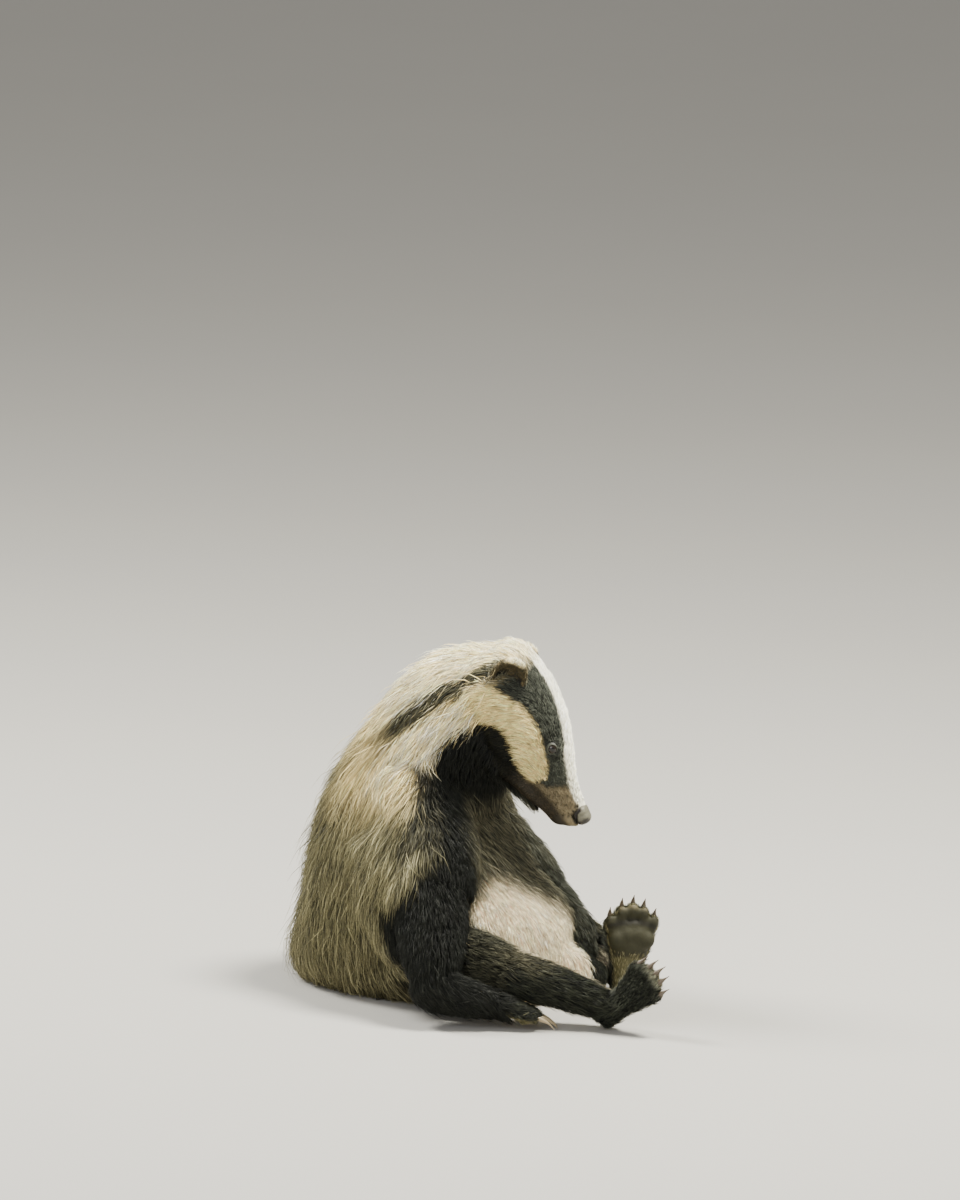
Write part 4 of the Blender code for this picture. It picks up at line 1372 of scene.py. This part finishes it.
def buildClaws(kind, tree):
    points, turns = [], []
    for name in sides:
        place = footFrame(*feet[kind][name])
        for toe in range(-2, 3):
            x, y, z = toeRows(kind, toe)[3][:3]
            points.append(fromFoot(place, np.array([x - 2.0, y, z + claws[kind]["lift"]])))
            splay = math.radians(2.5 * toe)
            axes = Matrix(place[1].tolist()).transposed() @ Matrix.Rotation(splay, 3, "Z")
            turns.append(tuple(axes.to_euler()))
    name = "foreclaws" if kind == "forepaw" else "hindclaws"
    data = bpy.data.meshes.new(name)
    data.from_pydata([tuple(point) for point in points], [], [])
    layer = data.attributes.new("clawTurn", "FLOAT_VECTOR", "POINT")
    layer.data.foreach_set("vector", np.array(turns, np.float32).reshape(-1))
    piece = addObject(name, data)
    modifier = piece.modifiers.new("claws", "NODES")
    modifier.node_group = tree
    size = claws[kind]
    scale = feet[kind]["right"][3] * mm
    labels = {"Length": "length", "Drop": "drop", "Thickness": "thick"}
    wanted = {label: size[key] * scale for label, key in labels.items()}
    for item in tree.interface.items_tree:
        if item.item_type == "SOCKET" and item.in_out == "INPUT" and item.name in wanted:
            modifier[item.identifier] = wanted[item.name]
    applied(piece)
    outward(piece.data)
    piece["slotName"] = "dark_fur"
    return piece


# finishes
def newMaterial(name, roughness, **constants):
    material = bpy.data.materials.new(name)
    material.use_nodes = True
    nodes = material.node_tree.nodes
    shader = nodes["Principled BSDF"]
    shader.inputs["Roughness"].default_value = roughness
    for label, value in constants.items():
        shader.inputs[label].default_value = value
    return material, nodes, material.node_tree.links, shader


def colourNoise():
    group = bpy.data.node_groups.new("colourNoise", "ShaderNodeTree")
    face = group.interface
    for label, kind, value in (
        ("Color", "NodeSocketColor", (0.5, 0.5, 0.5, 1)),
        ("Scale", "NodeSocketFloat", 60.0),
        ("Amount", "NodeSocketFloat", 0.2),
        ("Stretch", "NodeSocketVector", (1, 1, 1)),
    ):
        face.new_socket(label, in_out="INPUT", socket_type=kind).default_value = value
    face.new_socket("Color", in_out="OUTPUT", socket_type="NodeSocketColor")
    face.new_socket("Height", in_out="OUTPUT", socket_type="NodeSocketFloat")
    node, link = group.nodes.new, group.links.new
    given, result = node("NodeGroupInput"), node("NodeGroupOutput")
    where, turn, noise = node("ShaderNodeTexCoord"), node("ShaderNodeMapping"), node("ShaderNodeTexNoise")
    noise.inputs["Detail"].default_value = 4.0
    noise.inputs["Roughness"].default_value = 0.6
    link(where.outputs["Object"], turn.inputs["Vector"])
    link(given.outputs["Stretch"], turn.inputs["Scale"])
    link(turn.outputs["Vector"], noise.inputs["Vector"])
    link(given.outputs["Scale"], noise.inputs["Scale"])
    centre, spread, shift = node("ShaderNodeMath"), node("ShaderNodeMath"), node("ShaderNodeMath")
    centre.operation, spread.operation, shift.operation = "SUBTRACT", "MULTIPLY", "ADD"
    centre.inputs[1].default_value, shift.inputs[1].default_value = 0.5, 1.0
    link(noise.outputs["Fac"], centre.inputs[0])
    link(centre.outputs[0], spread.inputs[0])
    link(given.outputs["Amount"], spread.inputs[1])
    link(spread.outputs[0], shift.inputs[0])
    scale = node("ShaderNodeVectorMath")
    scale.operation = "SCALE"
    link(given.outputs["Color"], scale.inputs[0])
    link(shift.outputs[0], scale.inputs["Scale"])
    link(scale.outputs[0], result.inputs["Color"])
    link(noise.outputs["Fac"], result.inputs["Height"])
    return group


noiseGroup = colourNoise()


def addNoise(nodes, links, shader, scale, amount, bump, stretch=(1, 1, 1), colour=None, attribute=None):
    group = nodes.new("ShaderNodeGroup")
    group.node_tree = noiseGroup
    group.inputs["Scale"].default_value = scale
    group.inputs["Amount"].default_value = amount
    group.inputs["Stretch"].default_value = stretch
    if attribute:
        read = nodes.new("ShaderNodeAttribute")
        read.attribute_name = attribute
        links.new(read.outputs["Color"], group.inputs["Color"])
    elif colour is not None:
        group.inputs["Color"].default_value = (*colour, 1)
    links.new(group.outputs["Color"], shader.inputs["Base Color"])
    if bump:
        raised = nodes.new("ShaderNodeBump")
        raised.inputs["Strength"].default_value = bump
        raised.inputs["Distance"].default_value = 0.0006
        links.new(group.outputs["Height"], raised.inputs["Height"])
        links.new(raised.outputs["Normal"], shader.inputs["Normal"])
    return group


def coatMaterial():
    material, nodes, links, shader = newMaterial("coatHair", 0.58, **{"Specular IOR Level": 0.2})
    addNoise(nodes, links, shader, 55.0, 0.55, 0.0, attribute="coatColour")
    return material


def skinMaterial():
    material, nodes, links, shader = newMaterial("skinUnderCoat", 0.72, **{"Specular IOR Level": 0.3})
    addNoise(nodes, links, shader, 420.0, 0.5, 0.5, attribute="skinColour")
    return material


def shadeBetween(nodes, links, group, attribute, colours):
    read, blend = nodes.new("ShaderNodeAttribute"), nodes.new("ShaderNodeMix")
    read.attribute_name = attribute
    blend.data_type = "RGBA"
    for label, colour in zip("AB", colours):
        blend.inputs[label].default_value = (*colour, 1)
    links.new(read.outputs["Fac"], blend.inputs["Factor"])
    links.new(blend.outputs["Result"], group.inputs["Color"])


def noseMaterial():
    material, nodes, links, shader = newMaterial("nosePad", 0.5, **{"Coat Weight": 0.05})
    group = addNoise(nodes, links, shader, 900.0, 0.6, 1.0)
    # the pad's colour is blended toward the dark by its painted shade
    shadeBetween(nodes, links, group, "paintedNoseShade", nose["tones"])
    return material


def eyeMaterial():
    gloss = {"Coat Weight": 0.15, "Coat Roughness": 0.03, "Specular IOR Level": 0.35}
    material, nodes, links, shader = newMaterial("eyeDark", 0.05, **gloss)
    read, ramp = nodes.new("ShaderNodeAttribute"), nodes.new("ShaderNodeValToRGB")
    read.attribute_name = "fromPupil"
    stops = ramp.color_ramp.elements
    for number, (position, colour) in enumerate(eye["iris"]):
        stop = stops[number] if number < 2 else stops.new(position)
        stop.position, stop.color = position, (*colour, 1)
    links.new(read.outputs["Fac"], ramp.inputs["Fac"])
    links.new(ramp.outputs["Color"], shader.inputs["Base Color"])
    return material


def clawMaterial(name, colour):
    material, nodes, links, shader = newMaterial(name, 0.4, **{"Coat Weight": 0.1})
    addNoise(nodes, links, shader, 300.0, 0.4, 0.25, stretch=(1, 1, 6), colour=colour)
    return material


def lidMaterial():
    material, nodes, links, shader = newMaterial("lidSkin", 0.6)
    group = addNoise(nodes, links, shader, 700.0, 0.5, 0.5)
    shadeBetween(nodes, links, group, "lidShade", eye["lidTones"])
    return material


def colourSkin(skin):
    look, points = body["look"], body["points"]
    under = look[:, 0:3] * 0.55 + look[:, 3:6] * 0.45
    belly = np.linalg.norm(look[:, 3:6] - tones["belly"], axis=1) < 0.12
    under = np.where(belly[:, None], tones["bellySkin"], under * 0.8)
    for kind in ("forepaw", "hindfoot"):
        for name in sides:
            local = inFoot(footFrame(*feet[kind][name]), points)
            on = body["form"] == formNames.index(f"{kind}_{name}")
            sole = on * smooth(0, -2.5, local[:, 2])
            under = mix(under, tones["sole"], sole)
            if kind == "forepaw":
                under = mix(under, tones["pad"], on * smooth(-6.5, -7.5, local[:, 2]))
                continue
            x = local[:, 0] + 0.014 * local[:, 1] ** 2  # the pads lie in an arc
            under = mix(under, tones["pad"], sole * smooth(33, 36, x))
            # two dark bands across the sole are painted shade in its creases
            under = mix(under, tones["creaseShade"], sole * smooth(56, 59, x) * smooth(63, 60, x) * 0.8)
            under = mix(under, tones["creaseShade"], sole * smooth(31, 33, x) * smooth(37, 34, x) * 0.7)
            under = mix(under, tones["padTip"], on * smooth(1, -2, local[:, 2]) * smooth(68, 73, x) * 0.7)
    tint = np.ones((len(points), 4))
    tint[:, :3] = under
    layer = skin.data.attributes.new("skinColour", "FLOAT_COLOR", "POINT")
    layer.data.foreach_set("color", tint.reshape(-1).astype(np.float32))
    skin.data.polygons.foreach_set("use_smooth", np.ones(len(skin.data.polygons), bool))


def setMaterial(piece, material):
    piece.data.materials.clear()
    piece.data.materials.append(material)


hair = coatMaterial()
for piece in coatMade:
    setMaterial(piece, hair)
    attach(piece, "root")

colourSkin(skin)
setMaterial(skin, skinMaterial())
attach(skin, "root")
flesh = ["torso", "neck", "tail", "head"]
for part in ("ear", "upper_arm", "forearm", "thigh", "shank", "forepaw", "hindfoot"):
    flesh += [f"{part}_{name}" for name in sides]
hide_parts(*flesh)

eyeShine, lidSkin = eyeMaterial(), lidMaterial()
for name in sides:
    ball, lids = buildEye(name), buildLids(name)
    setMaterial(ball, eyeShine)
    setMaterial(lids, lidSkin)
    for piece in (ball, lids):
        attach(piece, "root")
    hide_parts(f"eye_{name}")
nosePad = buildNose()
setMaterial(nosePad, noseMaterial())
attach(nosePad, "root")
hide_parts("nose")
print("eyes, lids and nose made")

horns = {
    "forepaw": clawMaterial("clawHorn", tone(138, 124, 96)),
    "hindfoot": clawMaterial("clawDark", tone(74, 62, 46)),
}
tree = clawTree(horns["forepaw"])
for kind, horn in horns.items():
    piece = buildClaws(kind, tree)
    setMaterial(piece, horn)
    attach(piece, "root")
print("claws made")


# floor and light
studio = {
    "floor": tone(168, 166, 161),
    "sky": (1.0, 0.98, 0.93),
    "skyStrength": 0.55,
    "lamps": {  # place, size, watts, colour
        "key": ((0.35, -0.9, 2.1), 0.8, 155.0, (1.0, 0.97, 0.87)),
        "fill": ((-1.8, -0.7, 0.9), 1.4, 24.0, (0.97, 0.98, 1.0)),
        "rim": ((-0.3, 1.4, 1.8), 0.8, 95.0, (1.0, 0.98, 0.9)),
    },
}


def makeStage():
    shape = bmesh.new()
    bmesh.ops.create_grid(shape, x_segments=1, y_segments=1, size=60.0)
    data = bpy.data.meshes.new("floor")
    shape.to_mesh(data)
    shape.free()
    floor = addObject("floor", data)
    material, nodes, links, shader = newMaterial("paleFloor", 0.8)
    addNoise(nodes, links, shader, 3.0, 0.04, 0.0, colour=studio["floor"])
    setMaterial(floor, material)
    world = bpy.data.worlds.new("studio")
    world.use_nodes = True
    background = world.node_tree.nodes["Background"]
    background.inputs["Color"].default_value = (*studio["sky"], 1)
    background.inputs["Strength"].default_value = studio["skyStrength"]
    bpy.context.scene.world = world
    for name, (place, size, watts, colour) in studio["lamps"].items():
        lamp = bpy.data.lights.new(name, "AREA")
        lamp.shape, lamp.size, lamp.energy, lamp.color = "DISK", size, watts, colour
        made = addObject(name, lamp)
        made.location = place
        made.rotation_euler = (Vector((0, -0.1, 0.12)) - Vector(place)).to_track_quat("-Z", "Y").to_euler()


makeStage()
print("floor and light made")
